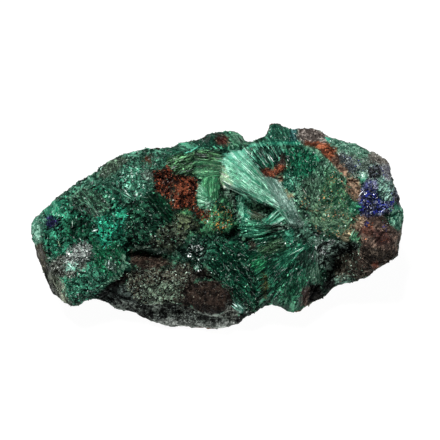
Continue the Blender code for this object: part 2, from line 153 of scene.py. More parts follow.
PATCHES = (
    Patch("dark green under everything", (8, 28, 21), (76, 134, 106), (
        (-46, -1), (-40, 8), (-25, 18), (-7, 22), (6, 24), (18, 25), (30, 22), (43, 17), (46, 0),
        (44, -9), (30, -15), (18, -22), (4, -25), (-20, -22), (-36, -21), (-43, -12),
    )),
    Patch("grey green above the left lump", (10, 36, 27), (92, 154, 128), (
        (-41, 6), (-35, 11), (-30, 13.5), (-26.5, 17), (-22, 19), (-15, 20.5), (-8, 21), (-9, 15),
        (-16, 13), (-15, 9), (-22, 5), (-30, 5), (-36, 5),
    )),
    Patch("brown tinge on the ridge", (36, 48, 40), (116, 148, 122), (
        (-29, 12.4), (-26.8, 16), (-23, 17.6), (-21.6, 16.2), (-24, 13.6), (-27.4, 11.6),
    )),
    Patch("left lump", (1, 13, 10), (66, 156, 123), (
        (-43, 2), (-40, 6), (-35, 8.5), (-28, 10), (-23, 7), (-21.5, 0), (-21.5, -8), (-25, -13),
        (-31, -18), (-35, -20), (-39, -12), (-42.4, -4),
    )),
    Patch("dark streaks of the left lump", (4, 17, 13), (108, 164, 134), LUMP_STREAKS),
    Patch("deep green of the left lump", (1, 11, 8), (40, 106, 78), (
        (-37.2, 1.6), (-33, 2.6), (-30.4, 1.4), (-30.8, -2), (-34, -3.4), (-37.8, -2.6),
    )),
    # painted shade: the gap behind the turquoise is coloured near black
    Patch("dark gap behind the turquoise", (2, 5, 4), (30, 60, 46), (
        (-23.6, 5.4), (-21, 5.8), (-19.8, 3), (-21, 1), (-22.6, 1.6), (-23, 3.6),
    )),
    Patch("left tip", (63, 110, 92), (145, 192, 171), (
        (-46, -0.3), (-44, 3.6), (-42.4, 4), (-41.8, 1), (-42.4, -3), (-43.6, -4.8), (-45.5, -4),
    )),
    Patch("dark lens in the left tip", (15, 51, 42), (67, 134, 106), (
        (-43.7, 2.4), (-42.6, 2.9), (-42, 1.2), (-42.2, -0.6), (-42.9, -0.5), (-42.8, 0.8),
    )),
    Patch("emerald blades at the left tip", (20, 92, 70), (112, 204, 166), (
        (-42.4, 3.8), (-41, 6.2), (-39.6, 6.8), (-38, 5.4), (-37.6, 2.6), (-40.6, 2.6),
    )),
    Patch("azurite on the left lump", (8, 10, 20), (50, 50, 96), (
        (-41.7, 2.5), (-40.4, 2.6), (-39.6, 1.8), (-38.5, 1.6), (-38.9, 0.4), (-39.9, 0.2),
        (-40.4, -0.6), (-41.4, 0.3),
    )),
    Patch("olive strip of the left break", (32, 30, 23), (104, 102, 86), (
        (-45, -4.5), (-42.7, -3.7), (-41.3, -7), (-40.8, -11), (-43, -12.5), (-45, -8),
    ), 0.4),
    Patch("striped foot of the left break", (15, 18, 15), (152, 162, 140), (
        (-43.5, -11), (-40.8, -9.7), (-37.6, -13), (-34.6, -18), (-34.6, -21), (-38, -21),
        (-42, -16.5),
    )),
    Patch("silver druse", (58, 62, 60), (220, 228, 224), (
        (-36.6, -6.4), (-34.4, -4.9), (-32, -3.9), (-30.6, -5.3), (-30.8, -7.2), (-32.5, -8.8),
        (-35.5, -9.6), (-38, -8.4),
    )),
    Patch("dull druse", (24, 27, 23), (158, 166, 154), (
        (-41.2, -9.2), (-39, -7.5), (-36.5, -6.5), (-37.5, -8.4), (-35.4, -9.6), (-32, -9),
        (-31.5, -11), (-36, -12.5), (-40, -11.5),
    )),
    Patch("turquoise spot in the druse", (84, 160, 136), (226, 255, 244), (
        (-36.9, -9.2), (-34.4, -8.6), (-34, -10.4), (-36.6, -11),
    )),
    Patch("turquoise on the left lump", (3, 42, 31), (82, 228, 185), (
        (-28.6, 2.6), (-26.5, 2), (-25.5, 0.4), (-24.6, 3.2), (-23, 4.6), (-22.4, 2.6), (-22.8, 0),
        (-24, -1.5), (-26, -2.6), (-27.4, -5), (-28.6, -3.4), (-28.4, -0.4),
    )),
    Patch("silky emerald", (2, 30, 20), (48, 138, 97), (
        (-30.4, -3), (-27.6, -5), (-24, -3.5), (-22.2, -6), (-22.6, -10), (-25.6, -12),
        (-28.6, -11), (-30.4, -8),
    )),
    Patch("foot of the left lump", (4, 26, 20), (84, 162, 132), (
        (-33.8, -11), (-30, -9), (-27, -12.4), (-28, -15), (-31, -18), (-34.8, -20.5),
        (-36.6, -15.5),
    )),
    Patch("pale edge of the left lump", (26, 81, 62), (168, 222, 190), (
        (-23, -6.4), (-21.8, -7), (-22.4, -10.6), (-25.4, -13.2), (-28.4, -15.8), (-28, -14),
        (-24.6, -11.6), (-23.4, -9),
    )),
    Patch("grey blades on the left lump", (50, 76, 66), (150, 176, 164), (
        (-26.8, -8.5), (-25.4, -7.5), (-24.8, -10.5), (-26.2, -10.4),
    )),
    Patch("turquoise sparkle on the ridge", (2, 18, 14), (98, 175, 145), (
        (-23.6, 12.6), (-22.4, 15), (-20, 14.8), (-18.6, 13.4), (-19.6, 11.6), (-17.8, 10),
        (-17, 7.2), (-19.4, 7), (-22, 8.2), (-24.8, 10.4), (-24, 11.4),
    )),
    Patch("grey spot on the ridge", (34, 48, 41), (122, 142, 130), (
        (-18.6, 13), (-16.6, 13.8), (-15.6, 12.5), (-16.4, 11.3), (-18, 11.7),
    )),
    Patch("rust spot on the ridge", (60, 38, 28), (140, 104, 82), (
        (-17.8, 16.8), (-16.5, 17), (-16.1, 15.6), (-17.5, 15.2),
    )),
    Patch("dark green hollow", (2, 10, 8), (44, 98, 74), (
        (-22, 5), (-16, 8.5), (-12.5, 7), (-11, 4), (-8, 1), (-9, -5), (-14, -6.4), (-20, -5),
        (-22.4, -2),
    )),
    Patch("emerald wedge of the hollow", (1, 5, 4), (25, 84, 57), (
        (-17.6, 9), (-14, 8.2), (-12, 6.2), (-10.6, 3.6), (-9.8, 0.6), (-12, 0.8), (-14.4, 3.4),
        (-17.4, 6.6),
    )),
    # painted highlight: a lighter band along the edge above the crevice
    Patch("crest of the crevice", (44, 66, 56), (160, 180, 164), (
        (-20, -4.4), (-17.6, -4.6), (-14, -5.4), (-11, -4.8), (-9.4, -4.4), (-9.6, -5.4),
        (-13, -6.4), (-17, -5.8), (-20, -5.4),
    )),
    Patch("grey green over the crevice", (9, 13, 11), (86, 98, 80), (
        (-17, -4.2), (-15, -0.8), (-11.4, 1.4), (-8, 2.4), (-6.6, -1.4), (-8, -4.6), (-13, -5.9),
    )),
    Patch("rust pit, dark side", (13, 9, 8), (81, 57, 47), (
        (-15.8, 13.8), (-13.8, 13.4), (-12, 15.2), (-10.6, 14), (-10.4, 10), (-9.8, 7), (-12, 6.6),
        (-14.8, 8.8),
    )),
    Patch("rust pit, bright side", (12, 8, 7), (126, 71, 50), (
        (-10.8, 12.8), (-8, 12.7), (-5.2, 12.2), (-4.4, 9.8), (-4.9, 7.4), (-5, 5.2), (-3.4, 4.6),
        (-1.2, 4), (-1.4, 2.2), (-3.4, 1.6), (-4.7, 2.9), (-6.6, 4), (-10.2, 4.2), (-10.8, 7.4),
    )),
    Patch("fibre band", (3, 21, 13), (120, 177, 128), (
        (-10.5, 13.4), (-12, 16.6), (-8, 18.6), (-3, 19), (1.2, 18), (2, 15.4), (0.6, 12.2),
        (-4, 11.9), (-8, 12.9),
    )),
    Patch("pale end of the band", (58, 124, 90), (176, 236, 190), (
        (-5, 14.2), (-0.2, 14.4), (0.4, 13.4), (1, 12), (-4.6, 12.2),
    )),
    Patch("middle layer of the band", (24, 80, 52), (140, 202, 154), (
        (-5.4, 16), (0.8, 16), (2.2, 15.2), (0, 14.8), (-5, 14.7),
    )),
    Patch("ridge behind the band", (12, 44, 34), (84, 168, 134), (
        (-12, 17), (-12.6, 20.6), (-7.5, 22), (-1.5, 24), (2, 25), (6.4, 24), (7, 20.4), (4, 18.6),
        (-3, 18.8), (-8, 18.4),
    )),
    Patch("turquoise streak", (8, 44, 34), (64, 156, 126), (
        (-8, 17.5), (-6.4, 18.2), (-4.2, 19.3), (-4.2, 19.9), (-6.6, 19), (-8.2, 18),
    )),
    Patch("grey green end of the ridge", (20, 60, 43), (98, 160, 126), (
        (3.2, 18.6), (2.8, 23.6), (6, 23.8), (7, 20),
    )),
    Patch("maroon pit", (38, 18, 16), (138, 90, 76), (
        (-0.5, 21), (0.3, 22.2), (1.9, 22.4), (3, 21.5), (2.8, 20.2), (1.6, 19.7), (0.1, 20),
    )),
    Patch("mottled green with rust specks", (5, 28, 19), (80, 148, 104), (
        (-6.6, 4), (-5, 1.6), (-2, 4), (0.6, 6.6), (2, 9.6), (5, 8), (5.2, 3), (4.6, -1.6),
        (1, -2.4), (-4, -2.6), (-9, -0.6), (-10.6, 3.6),
    ), 0.7),
    Patch("olive ground under the pit", (14, 20, 15), (104, 118, 88), (
        (-10.6, 3.8), (-7, 3.4), (-4.8, 1.4), (-4.4, -0.8), (-9, -1.4), (-11, 1),
    )),
    Patch("green tuft under the pit", (22, 70, 44), (92, 150, 98), (
        (-9.4, 3.4), (-8, 4.5), (-6.4, 4.2), (-6.6, 3.2),
    )),
    Patch("small mint fan", (70, 140, 106), (206, 246, 222), (
        (-5.1, 7), (-4.2, 9.8), (-3, 10.4), (-1.6, 9), (-1, 6.6), (-2.5, 4.1), (-4.3, 4.5),
    )),
    Patch("upright fibres", (30, 92, 60), (126, 206, 152), (
        (-3.5, 10.2), (-3, 12), (0.7, 12.2), (0.6, 9.4), (0, 7), (-1.2, 6.5),
    )),
    # painted shade: the notch is coloured near black
    Patch("dark notch beside the fibres", (1, 5, 3), (26, 50, 36), (
        (0.7, 12), (1.5, 11.6), (2.4, 9.4), (2.2, 7), (0.6, 7), (0.6, 9.6),
    )),
    Patch("dark wedge beside the blade", (7, 13, 11), (108, 140, 120), (
        (1.7, 11.6), (2.7, 9.2), (5.4, 8), (5.4, 2.4), (4.2, 2), (3.6, 5), (2, 8),
    )),
    Patch("dark centre", (4, 22, 17), (68, 134, 106), (
        (-6, -1), (-3, -2.4), (2, -1.6), (5, -1), (7.4, -3), (8, -8), (5, -9.4), (1, -8.2),
        (-3, -7.4),
    )),
    Patch("pale blade, bright end", (88, 164, 138), (220, 252, 238), (
        (1.4, 17.4), (4, 18.6), (6.6, 18.9), (8.6, 16.8), (10.2, 13.4), (8.8, 9), (6, 8),
        (3.2, 9.2), (2.4, 10), (2, 14), (0.4, 15.8),
    )),
    # painted shade: darker colours over a crease of the blade that faces the key light
    Patch("painted shade over the lit crease of the blade", (76, 144, 118), (172, 228, 202), (
        (1.6, 16.6), (2.8, 16.8), (4.8, 13.6), (7.2, 10.6), (9.6, 8.9), (9.2, 7.9), (6.4, 9.2),
        (3.6, 12.2), (1.8, 15),
    )),
    Patch("pale blade, middle", (40, 123, 94), (196, 240, 220), (
        (8.2, 16.8), (9.9, 14), (10.8, 12.6), (12.4, 12.2), (13.6, 9.6), (14.6, 5), (11.6, 6),
        (10, 5.7), (8.4, 6.8),
    )),
    Patch("pale blade, grey end", (82, 120, 106), (188, 214, 204), (
        (10.6, 13), (12.4, 12.4), (15, 11), (17.6, 8), (20, 4.6), (21.4, 1.6), (20.4, 0),
        (17.6, 0.8), (15.8, 3.2), (14.4, 5), (12.8, 8),
    )),
    Patch("cream edge of the blade", (146, 188, 146), (255, 255, 246), (
        (-0.4, 15.4), (1.4, 15), (3, 12.8), (3.6, 10.2), (1.8, 9.6), (0.8, 12.2),
    )),
    # painted shade and light: dark for the blade's shadow, with the lightest colour raised where the
    # solid's own shadow falls
    Patch("hollow under the blade", (18, 38, 30), (166, 214, 186), (
        (6.9, 7.2), (8.7, 6.5), (10, 5.5), (11.6, 5.8), (14.3, 4.5), (13, 3.2), (11.6, 2.1),
        (9.6, 2.6), (7.6, 3.6), (7.2, 5),
    )),
    # painted light: colours raised on fibres that lie in the blade's shadow
    Patch("brown fibres in the hollow", (43, 58, 44), (203, 234, 196), (
        (6.9, 4.9), (8.2, 4.5), (11.8, 2.4), (11, 1.7), (8.6, 2), (6.6, 3.2),
    )),
    Patch("green wall of the hollow", (16, 97, 73), (157, 227, 197), (
        (4.8, 8), (7.4, 7.5), (8.7, 5.6), (8.5, 3.6), (7.8, 1.6), (5.4, 1.6), (4.9, 4),
    )),
    Patch("streaked green under the hollow", (14, 72, 54), (122, 214, 174), (
        (5.6, 1.8), (9, 1.6), (12.6, 0.2), (16, -0.2), (16.4, -2.6), (12, -3.4), (7, -3), (5.6, -1),
    )),
    Patch("pale wall right of the hollow", (52, 130, 102), (160, 214, 192), (
        (11, 1.7), (12.4, 2.6), (14.6, 4.7), (16.6, 4.6), (17.4, 2), (14.6, 0.5), (12, 0.5),
    )),
    Patch("broken ground under the hollow", (9, 24, 20), (116, 146, 128), (
        (10.6, 0.4), (15, 0.9), (19.6, 0.4), (20.4, -1.6), (16, -1), (12.4, -0.5),
    )),
    # painted shade: the cleft is coloured near black
    Patch("cleft in the fan", (1, 2, 2), (8, 14, 12), (
        (10.9, -2.3), (13, -0.5), (14.8, 0), (15.2, -1.1), (12.8, -2.3),
    )),
    # painted shade: the long cleft is coloured near black
    Patch("long cleft in the fan", (1, 2, 2), (8, 14, 12), (
        (8.6, -3.2), (12, -2.7), (15.9, -2), (15.9, -3.1), (12, -3.9), (9.4, -4.2),
    )),
    Patch("right of the fan, emerald", (2, 24, 18), (50, 146, 108), (
        (16.8, 18.8), (20.5, 20.2), (24.6, 18.6), (26.4, 16.6), (24, 13), (22, 12), (16, 9),
        (16.6, 13),
    )),
    Patch("right of the fan, middle", (18, 48, 38), (136, 196, 162), (
        (16, 9.6), (22, 12), (26, 16), (29.5, 12.6), (27, 9), (25, 3), (21, 1), (18.4, 6),
    )),
    Patch("teal side of the fan", (14, 66, 52), (146, 232, 198), (
        (15.4, 11.2), (16.4, 13), (18.6, 12.4), (19.8, 9.8), (18, 8.4), (16.6, 9.4),
    )),
    Patch("dark speckles of the fan", (14, 36, 28), (126, 172, 142), (
        (20, 5.4), (20.6, 11.4), (24, 12.2), (26.2, 9), (24.6, 5), (21.4, 3.4),
    )),
    Patch("right of the fan, outside", (15, 54, 40), (108, 164, 122), (
        (26, 14), (29, 12.8), (31.2, 10.4), (32, 6), (34.6, 5), (33.4, 2.6), (31, 1.8), (28, 4),
        (25, 6),
    )),
    Patch("pale rim of the fan", (24, 76, 56), (142, 200, 168), (
        (20, 20.7), (24.4, 18.9), (26.6, 16.9), (29.9, 13.4), (29.1, 12.8), (26, 16), (24, 17.8),
        (20, 19.9),
    )),
    Patch("tan streaks of the fan", (26, 62, 46), (134, 174, 140), (
        (23, 6), (30, 4.2), (33.6, 2.4), (32.4, -0.6), (30, -2.4), (25, -1.6), (22, 1),
    )),
    Patch("green lobe of the fan", (16, 78, 56), (116, 198, 157), (
        (31.2, 4), (32.6, 6.4), (33.4, 6.2), (35.3, 4.9), (34, 3), (32.2, 2.4),
    )),
    Patch("tan fibres over the nook", (104, 104, 82), (236, 222, 182), (
        (29.8, -2.8), (31.6, -0.3), (32.9, -0.4), (32.2, -3.8), (30.2, -3.9),
    )),
    Patch("green block over the nook", (64, 132, 98), (170, 224, 176), (
        (32.8, -0.4), (34.2, -1), (35.1, -4), (32.4, -4),
    )),
    Patch("below the fan's heart", (6, 20, 16), (88, 132, 112), (
        (16, -0.6), (19, 0.4), (22, 1.2), (25.4, -0.6), (24.6, -4.6), (20, -4.6), (16.6, -4),
    )),
    Patch("teal slab under the heart", (26, 88, 68), (100, 184, 154), (
        (16.4, -0.8), (18.3, -1), (18.6, -4.4), (17, -5.2),
    )),
    Patch("lower fan", (7, 32, 25), (66, 146, 114), (
        (8.4, -3.6), (16, -3), (23.6, -4), (24.4, -9), (25, -13.4), (22.4, -15.2), (20.8, -19),
        (19.4, -22), (13.6, -21), (10.4, -19.4), (9.4, -12), (7.6, -8),
    )),
    Patch("dark root of the lower fan", (8, 24, 19), (62, 104, 86), (
        (19, -6.4), (21.6, -5.4), (24, -5), (24.4, -9), (22, -9.8), (19.6, -9),
    )),
    Patch("bright foot of the lower fan", (9, 49, 36), (102, 196, 152), (
        (15, -13), (18, -11.4), (21, -10.6), (22.2, -13), (20.6, -16), (19.6, -20.4), (17.4, -20.6),
        (16.4, -17), (14, -15.6),
    )),
    Patch("olive sheaf", (16, 44, 30), (112, 158, 118), (
        (9.8, -5.4), (12, -4), (15.4, -3.1), (17, -3.6), (16.6, -5.4), (13, -6.6), (10, -6.6),
    )),
    Patch("speckled brown beside the fan", (16, 13, 11), (124, 116, 102), (
        (6.2, -2.7), (8, -3), (9.4, -4), (9.8, -5.4), (8.4, -5.2), (6.6, -4),
    )),
    Patch("bright band of the lower fan", (14, 74, 55), (88, 170, 137), (
        (13.8, -10.4), (14.6, -8.2), (16.4, -6.4), (18.6, -5.2), (21.6, -4.4), (21.6, -5.4),
        (18.6, -7.2), (16.4, -8.8), (15, -10.2),
    )),
    Patch("bright green of the lower fan", (15, 80, 54), (88, 196, 138), (
        (8.4, -7), (11, -6.2), (12.4, -9), (10.6, -11), (8.4, -10),
    )),
    Patch("olive edge of the lower fan", (15, 28, 17), (88, 90, 56), (
        (10.6, -10.4), (12.2, -11.4), (12.6, -14.6), (12, -17.4), (10.8, -17), (11.4, -14),
    )),
    Patch("pale foot of the lower fan", (40, 80, 62), (118, 158, 134), (
        (22, -9), (24.8, -9.6), (25.2, -14), (22.4, -13.2),
    )),
    Patch("brown foot of the lower fan", (52, 40, 36), (150, 130, 116), (
        (20.6, -14.6), (22.6, -14.6), (23, -18.6), (20.4, -19.8),
    )),
    # painted light: brighter colours on a rim that faces away from the key light
    Patch("painted light on the rim of the lower fan", (12, 54, 40), (100, 176, 138), (
        (12.6, -17.6), (14.6, -16.8), (19.6, -17.4), (21, -19.4), (18.4, -21.6), (13.4, -20.4),
    )),
    Patch("rust crescent", (46, 26, 20), (152, 90, 66), (
        (9.8, 13.4), (10.6, 14.1), (11.4, 14), (12.2, 14.7), (13, 14), (13.8, 14.4), (14.4, 15.2),
        (15.2, 15.5), (16.8, 15.1), (16.8, 14.1), (15.6, 13.2), (14.6, 12.4), (13.4, 12), (12, 12),
        (10.8, 12.6),
    )),
    Patch("brown top of the crescent", (44, 38, 35), (140, 120, 108), (
        (14, 15), (14.6, 16.4), (15.5, 18.2), (16.2, 17.2), (16.8, 15.2), (15.6, 15),
    ), 0.4),
    Patch("dark teal hollow", (3, 26, 20), (132, 226, 192), (
        (8, 16.4), (10.2, 14.2), (15, 15.6), (16, 18.2), (14.4, 20.2), (9.6, 20),
    )),
    # painted shade: the gap in the teal hollow is coloured darker
    Patch("dark gap of the teal hollow", (1, 11, 8), (48, 122, 94), (
        (9.6, 15.8), (10.8, 14.4), (13.4, 14.4), (13, 16.4), (11.4, 18), (9.8, 17.4),
    )),
    Patch("rim over the teal hollow", (30, 112, 88), (140, 230, 194), (
        (6.8, 18.9), (8.4, 20.2), (14, 20.8), (20.6, 21), (20.4, 20), (14, 19.9), (9.4, 19.6),
    )),
    Patch("brown spot on the fan", (60, 42, 32), (214, 172, 138), (
        (14.8, 12.2), (16, 12.5), (16.2, 11.2), (15, 10.8),
    )),
    Patch("tan spot on the fan", (160, 136, 100), (236, 212, 172), (
        (17.2, 7.9), (18.3, 7.9), (18.2, 7), (17.2, 7),
    )),
    Patch("green slope", (2, 15, 11), (36, 104, 77), (
        (-3, -7.6), (0, -3.4), (7.5, -3), (8.6, -9), (9.6, -13), (9.6, -18.6), (8, -22.4),
        (5, -22.6), (3.4, -17), (2.4, -14.4), (0, -12.2),
    )),
    Patch("turquoise at the foot of the slope", (42, 112, 94), (208, 246, 232), (
        (3.2, -18.6), (4.6, -17.8), (6.8, -19.6), (6, -21), (3.2, -19.8),
    )),
    Patch("green ledge", (6, 24, 19), (84, 130, 112), (
        (-9.4, -5.2), (-4, -3), (-2.2, -7.6), (-4, -8.6), (-9, -8.6),
    )),
    Patch("smooth brown of the shelf", (22, 18, 15), (72, 58, 50), (
        (-21, -6), (-17, -6.6), (-13, -7.2), (-11, -9), (-14, -10.4), (-18.6, -10.6), (-21, -8.6),
    ), 0.7),
    Patch("speckled shelf", (7, 6, 5), (104, 104, 90), (
        (-21.8, -10.4), (-14, -10.2), (-7, -9), (-5.2, -11), (-7.2, -13.4), (-7.8, -17.8),
        (-12, -19.2), (-19, -18.8), (-22, -15),
    )),
    Patch("green grey foot of the shelf", (10, 13, 11), (148, 176, 150), (
        (-18, -13.8), (-9, -13.4), (-7.8, -17.8), (-11, -19.2), (-16, -19.4), (-19, -18),
    )),
    # painted shade: the gap beside the lump is coloured near black
    Patch("brown gap beside the lump", (3, 3, 2), (28, 26, 23), (
        (-24, -12), (-21.2, -10.2), (-22.4, -14), (-26.6, -16.4), (-28.4, -15.8),
    )),
    Patch("dark slope under the lump", (12, 15, 14), (68, 80, 75), (
        (-28.8, -16.2), (-24, -13.8), (-20, -15), (-19, -18.6), (-25, -20.5), (-29, -18.6),
    )),
    Patch("lip", (12, 13, 13), (150, 162, 152), (
        (-25, -18), (-19.4, -18.4), (-8, -18.6), (-6, -19.4), (-1, -20.6), (3, -20.2), (6, -22),
        (6, -24), (-1.5, -26.5), (-12, -25.6), (-20.5, -22.4), (-27, -20.4),
    ), 0.6),
    Patch("speckled rim of the lip", (110, 116, 110), (236, 243, 236), (
        (-14, -22.8), (-2, -23), (4, -22.4), (6, -24.4), (-1.5, -26.5), (-14, -25.8),
    )),
    Patch("brown dome", (8, 6, 5), (50, 40, 34), (
        (-9, -14.6), (-5.4, -12.6), (0, -13), (3, -15), (3.9, -18.2), (3, -20.6), (-1, -21.4),
        (-5.4, -20.2), (-8.8, -19.2), (-9.8, -17),
    ), 0.3),
    Patch("dark roof of the dome", (9, 8, 7), (70, 68, 60), (
        (-7.8, -11.2), (-3, -9.6), (-0.8, -12), (-4.6, -12.8), (-6.8, -15.2),
    )),
    Patch("speckled side of the dome", (40, 42, 40), (168, 176, 165), (
        (3, -17.6), (4.6, -20), (6.6, -22), (3, -23), (2.2, -20.6),
    )),
    Patch("black sparkle under the fan", (10, 18, 16), (196, 232, 214), (
        (23.4, -3.2), (30, -3), (34.8, -4), (33.6, -6), (29, -6.4), (28.4, -10.4), (26, -10.4),
        (24.2, -8),
    )),
    Patch("dark speckled foot on the right", (12, 12, 10), (100, 94, 82), (
        (28.6, -6.4), (34, -5.4), (36, -9), (38.4, -12.2), (33, -14.6), (29, -13.4), (28, -9),
    )),
    # partly painted shade: the nook's near-black stands for its shadow over the rock's own dark
    # colour
    Patch("black nook", (3, 4, 4), (80, 92, 84), (
        (30, -4.4), (34.8, -4), (34.6, -5.6), (31.6, -6.4), (29.6, -6.6), (28.6, -8), (28.4, -10.4),
        (27.6, -9.8), (28, -6.6),
    )),
    Patch("dark root beside the fan", (2, 3, 3), (50, 60, 54), (
        (26.4, -10.2), (28.6, -10.6), (28.8, -13.4), (27, -15.4), (25.6, -14.6), (26.4, -12.4),
    )),
    # painted shade: the gap at the fan's foot is coloured near black
    Patch("black gap at the fan's foot", (2, 3, 3), (54, 54, 50), (
        (22.6, -13.8), (25, -13.8), (25.4, -15.6), (26.4, -17.6), (23.4, -18.2), (21.6, -18.8),
        (22.2, -16),
    )),
    Patch("pale spot on the foot", (24, 50, 42), (140, 182, 162), (
        (28.8, -12.6), (31.6, -11.6), (33.4, -12.6), (32.4, -14.4), (29.2, -14.4),
    )),
    Patch("brown lump", (49, 40, 36), (132, 111, 98), (
        (32.4, -0.6), (34.2, 3), (36.5, 3.8), (40.2, 3.2), (41.8, 0.6), (44.6, -1), (44.6, -7.6),
        (40, -10), (37.4, -12.4), (33.8, -9), (34.8, -4),
    ), 0.8),
    Patch("dark foot of the brown lump", (26, 22, 19), (88, 78, 68), (
        (34.6, -5), (44.4, -5.6), (44.6, -7.8), (40, -10), (37.4, -12.6), (35.2, -9),
    ), 0.8),
    Patch("rust stripe of the brown lump", (42, 29, 24), (102, 70, 60), (
        (34.8, 0), (37.6, 0.6), (38.6, -1.4), (36.2, -2.2), (34.8, -1.5),
    )),
    Patch("maroon of the brown lump", (42, 29, 27), (90, 63, 57), (
        (38, -0.8), (41.8, -1.2), (42.2, -4), (38.8, -4.6),
    )),
    Patch("tan crown of the brown lump", (96, 76, 62), (198, 174, 146), (
        (32.6, 0), (33.8, 2.6), (35.7, 3), (35.4, 0.6), (34, -0.8),
    )),
    Patch("orange spot of the brown lump", (112, 66, 52), (224, 148, 116), (
        (37.7, -8.7), (38.9, -8.5), (39.1, -9.5), (37.9, -9.9),
    )),
    Patch("mottled grey on the right", (40, 58, 51), (146, 166, 151), (
        (28.4, 18.6), (33, 17.6), (37.4, 16.4), (36.4, 12), (33, 11.6), (30.4, 14.4),
    )),
    Patch("pale teal edge on the right", (36, 76, 62), (134, 182, 158), (
        (25.2, 22.8), (27.2, 23), (33.5, 21.4), (38.4, 19), (37.4, 16.2), (33, 17.2), (29, 18.2),
        (26, 19.8),
    )),
    Patch("bright teal spot", (52, 164, 136), (190, 255, 232), (
        (25, 22.8), (27.2, 22.4), (27.6, 19.4), (25.2, 19.4),
    )),
    Patch("dark with azurite", (28, 36, 42), (148, 160, 160), (
        (29, 16.8), (30.4, 18.2), (32.6, 16.8), (34.2, 14.2), (32.8, 13), (31, 14.6),
    )),
    Patch("grey brown corner", (84, 82, 76), (156, 152, 144), (
        (37.5, 19), (42.6, 17), (42.4, 14.6), (38.8, 14.8), (36.4, 16.4),
    )),
    Patch("rust band", (66, 36, 25), (166, 98, 68), (
        (20.9, 21.4), (23, 21.5), (25.9, 21), (27.4, 20.2), (28.9, 19.2), (29.4, 17), (28.4, 15.2),
        (26.8, 16.4), (25.2, 17.9), (23.4, 19.3), (21.4, 20),
    )),
    Patch("brown end of the rust band", (70, 54, 46), (172, 140, 116), (
        (27.8, 16.6), (28.6, 17.6), (30, 15.4), (31.6, 14.4), (32, 12), (30.4, 12.3), (28, 15.3),
    )),
    Patch("tan band", (80, 66, 54), (184, 156, 130), TAN_BAND),
    Patch("matrix behind the fan", (66, 60, 56), (170, 160, 152), (
        (19.2, 21.8), (19.4, 24.6), (21.4, 26), (25.4, 25.4), (27.4, 22.4), (26, 20.4), (23, 21),
        (20.4, 20.8),
    )),
    Patch("blue green behind the fan", (18, 50, 50), (84, 140, 136), (
        (17.4, 20.6), (17.6, 24.6), (19.6, 24.8), (19.4, 21),
    )),
    Patch("top knob", (16, 54, 43), (96, 176, 144), (
        (11, 20.8), (12, 23.4), (13.2, 27), (15.8, 26), (18, 24.8), (18, 20.8), (14, 20.6),
    )),
    Patch("azurite", (20, 22, 40), (126, 134, 182), (
        (34.6, 3), (34.7, 6), (35, 8.4), (36, 10), (38.6, 9.4), (38.8, 7.2), (39.8, 6.4),
        (42.8, 6.4), (42.4, 3.6), (39, 2.8),
    ), 0.6),
    Patch("navy heart of the azurite", (8, 10, 21), (64, 66, 120), (
        (36.2, 8.8), (38.6, 8.2), (38.8, 5.6), (37.2, 4.6), (36, 6.4),
    ), 0.6),
    Patch("bright vein of the azurite", (24, 30, 84), (90, 106, 204), (
        (38.6, 7.6), (39.6, 7.2), (40.6, 5.4), (40, 3.6), (38.8, 4.2), (38.4, 5.8),
    ), 0.6),
    Patch("bright edge of the azurite", (24, 30, 82), (90, 106, 206), (
        (34.6, 5.8), (35.6, 6), (36.2, 4.8), (35.4, 3.8), (34.5, 4.4),
    ), 0.6),
    Patch("pale azurite", (70, 76, 120), (208, 212, 234), (
        (35, 8.8), (36, 11.6), (38.7, 11.5), (39.4, 9.4), (38, 8.4),
    )),
    Patch("black pocket", (18, 20, 22), (197, 228, 216), (
        (36.2, 12), (36.8, 14.6), (38.4, 15.6), (40.2, 14.8), (40.2, 12.2), (38.4, 11.2),
    )),
    Patch("pale green sprays", (38, 58, 56), (156, 200, 184), (
        (39.2, 12.4), (41, 13.6), (43, 11.6), (44, 8.4), (42.4, 6.4), (40, 6), (38.8, 8.4),
    )),
    Patch("blue black edge", (20, 22, 28), (120, 124, 136), (
        (42, 8.6), (43.6, 10), (45.6, 6.4), (45.4, 4.4), (42.8, 5.6),
    )),
    Patch("green on the right edge", (40, 92, 76), (148, 206, 176), (
        (41.6, 4.4), (42.8, 5.6), (45.4, 4.4), (46, 0.6), (44, -0.8), (42, 1.2),
    )),
    Patch("purple grey edge", (84, 84, 92), (192, 198, 196), (
        (39.4, 15), (42.2, 15), (43.6, 12), (41, 10.8), (39.6, 13),
    )),
    Patch("mint spot", (70, 140, 114), (232, 255, 244), (
        (34.5, 13.4), (36, 13.6), (36.5, 11.2), (34.8, 10.8),
    )),
)

PATCH_FRAY = 1.1  # how far noise pushes a patch's edge about
PATCH_EDGE = 0.4  # half the width of a patch's edge
ROUGHNESS_EDGE = (-0.5, 0.5)  # depth inside a patch between which its roughness comes in
FULL_FRAY = 3.0  # the breadth from which a patch's edge frays fully
PATCH_STRAY = 0.25  # how far off a grain's colour may come from
EVEN_RELIEF = 0.2  # below it the fibres lie so evenly that their bundles hardly differ
GLINT_SHARE = 0.07  # of the splinters and grains that get a painted glint, their tone moved toward GLINT
# near-white colour of the painted glints
GLINT = (226, 244, 236)
USUAL_GLINTS, SPECK_GLINTS, GRAIN_GLINTS = 0.5, 1, 0.3  # how strongly the painted glints show on fibres, specks and coarser grains
GLINT_LIGHT = (0.03, 0.2)  # green of the patch's light colour between which painted glints come in
GLINT_GREENNESS = (0.9, 1.5)  # and green against red
TONE_LIMIT = 1.4  # the most of its patch's light colour in a tone

PLAIN_ROCK = ((36, 29, 25), (116, 104, 92))  # limonite, on the back and the underside
GREEN_CRUST = ((14, 48, 36), (84, 132, 108))
RUST_STAIN = ((60, 30, 18), (140, 88, 56))


def linear(colour):
    """A colour, or several, out of 255, as light."""
    share = np.asarray(colour, float) / 255
    return np.where(share <= 0.04045, share / 12.92, ((share + 0.055) / 1.055) ** 2.4)


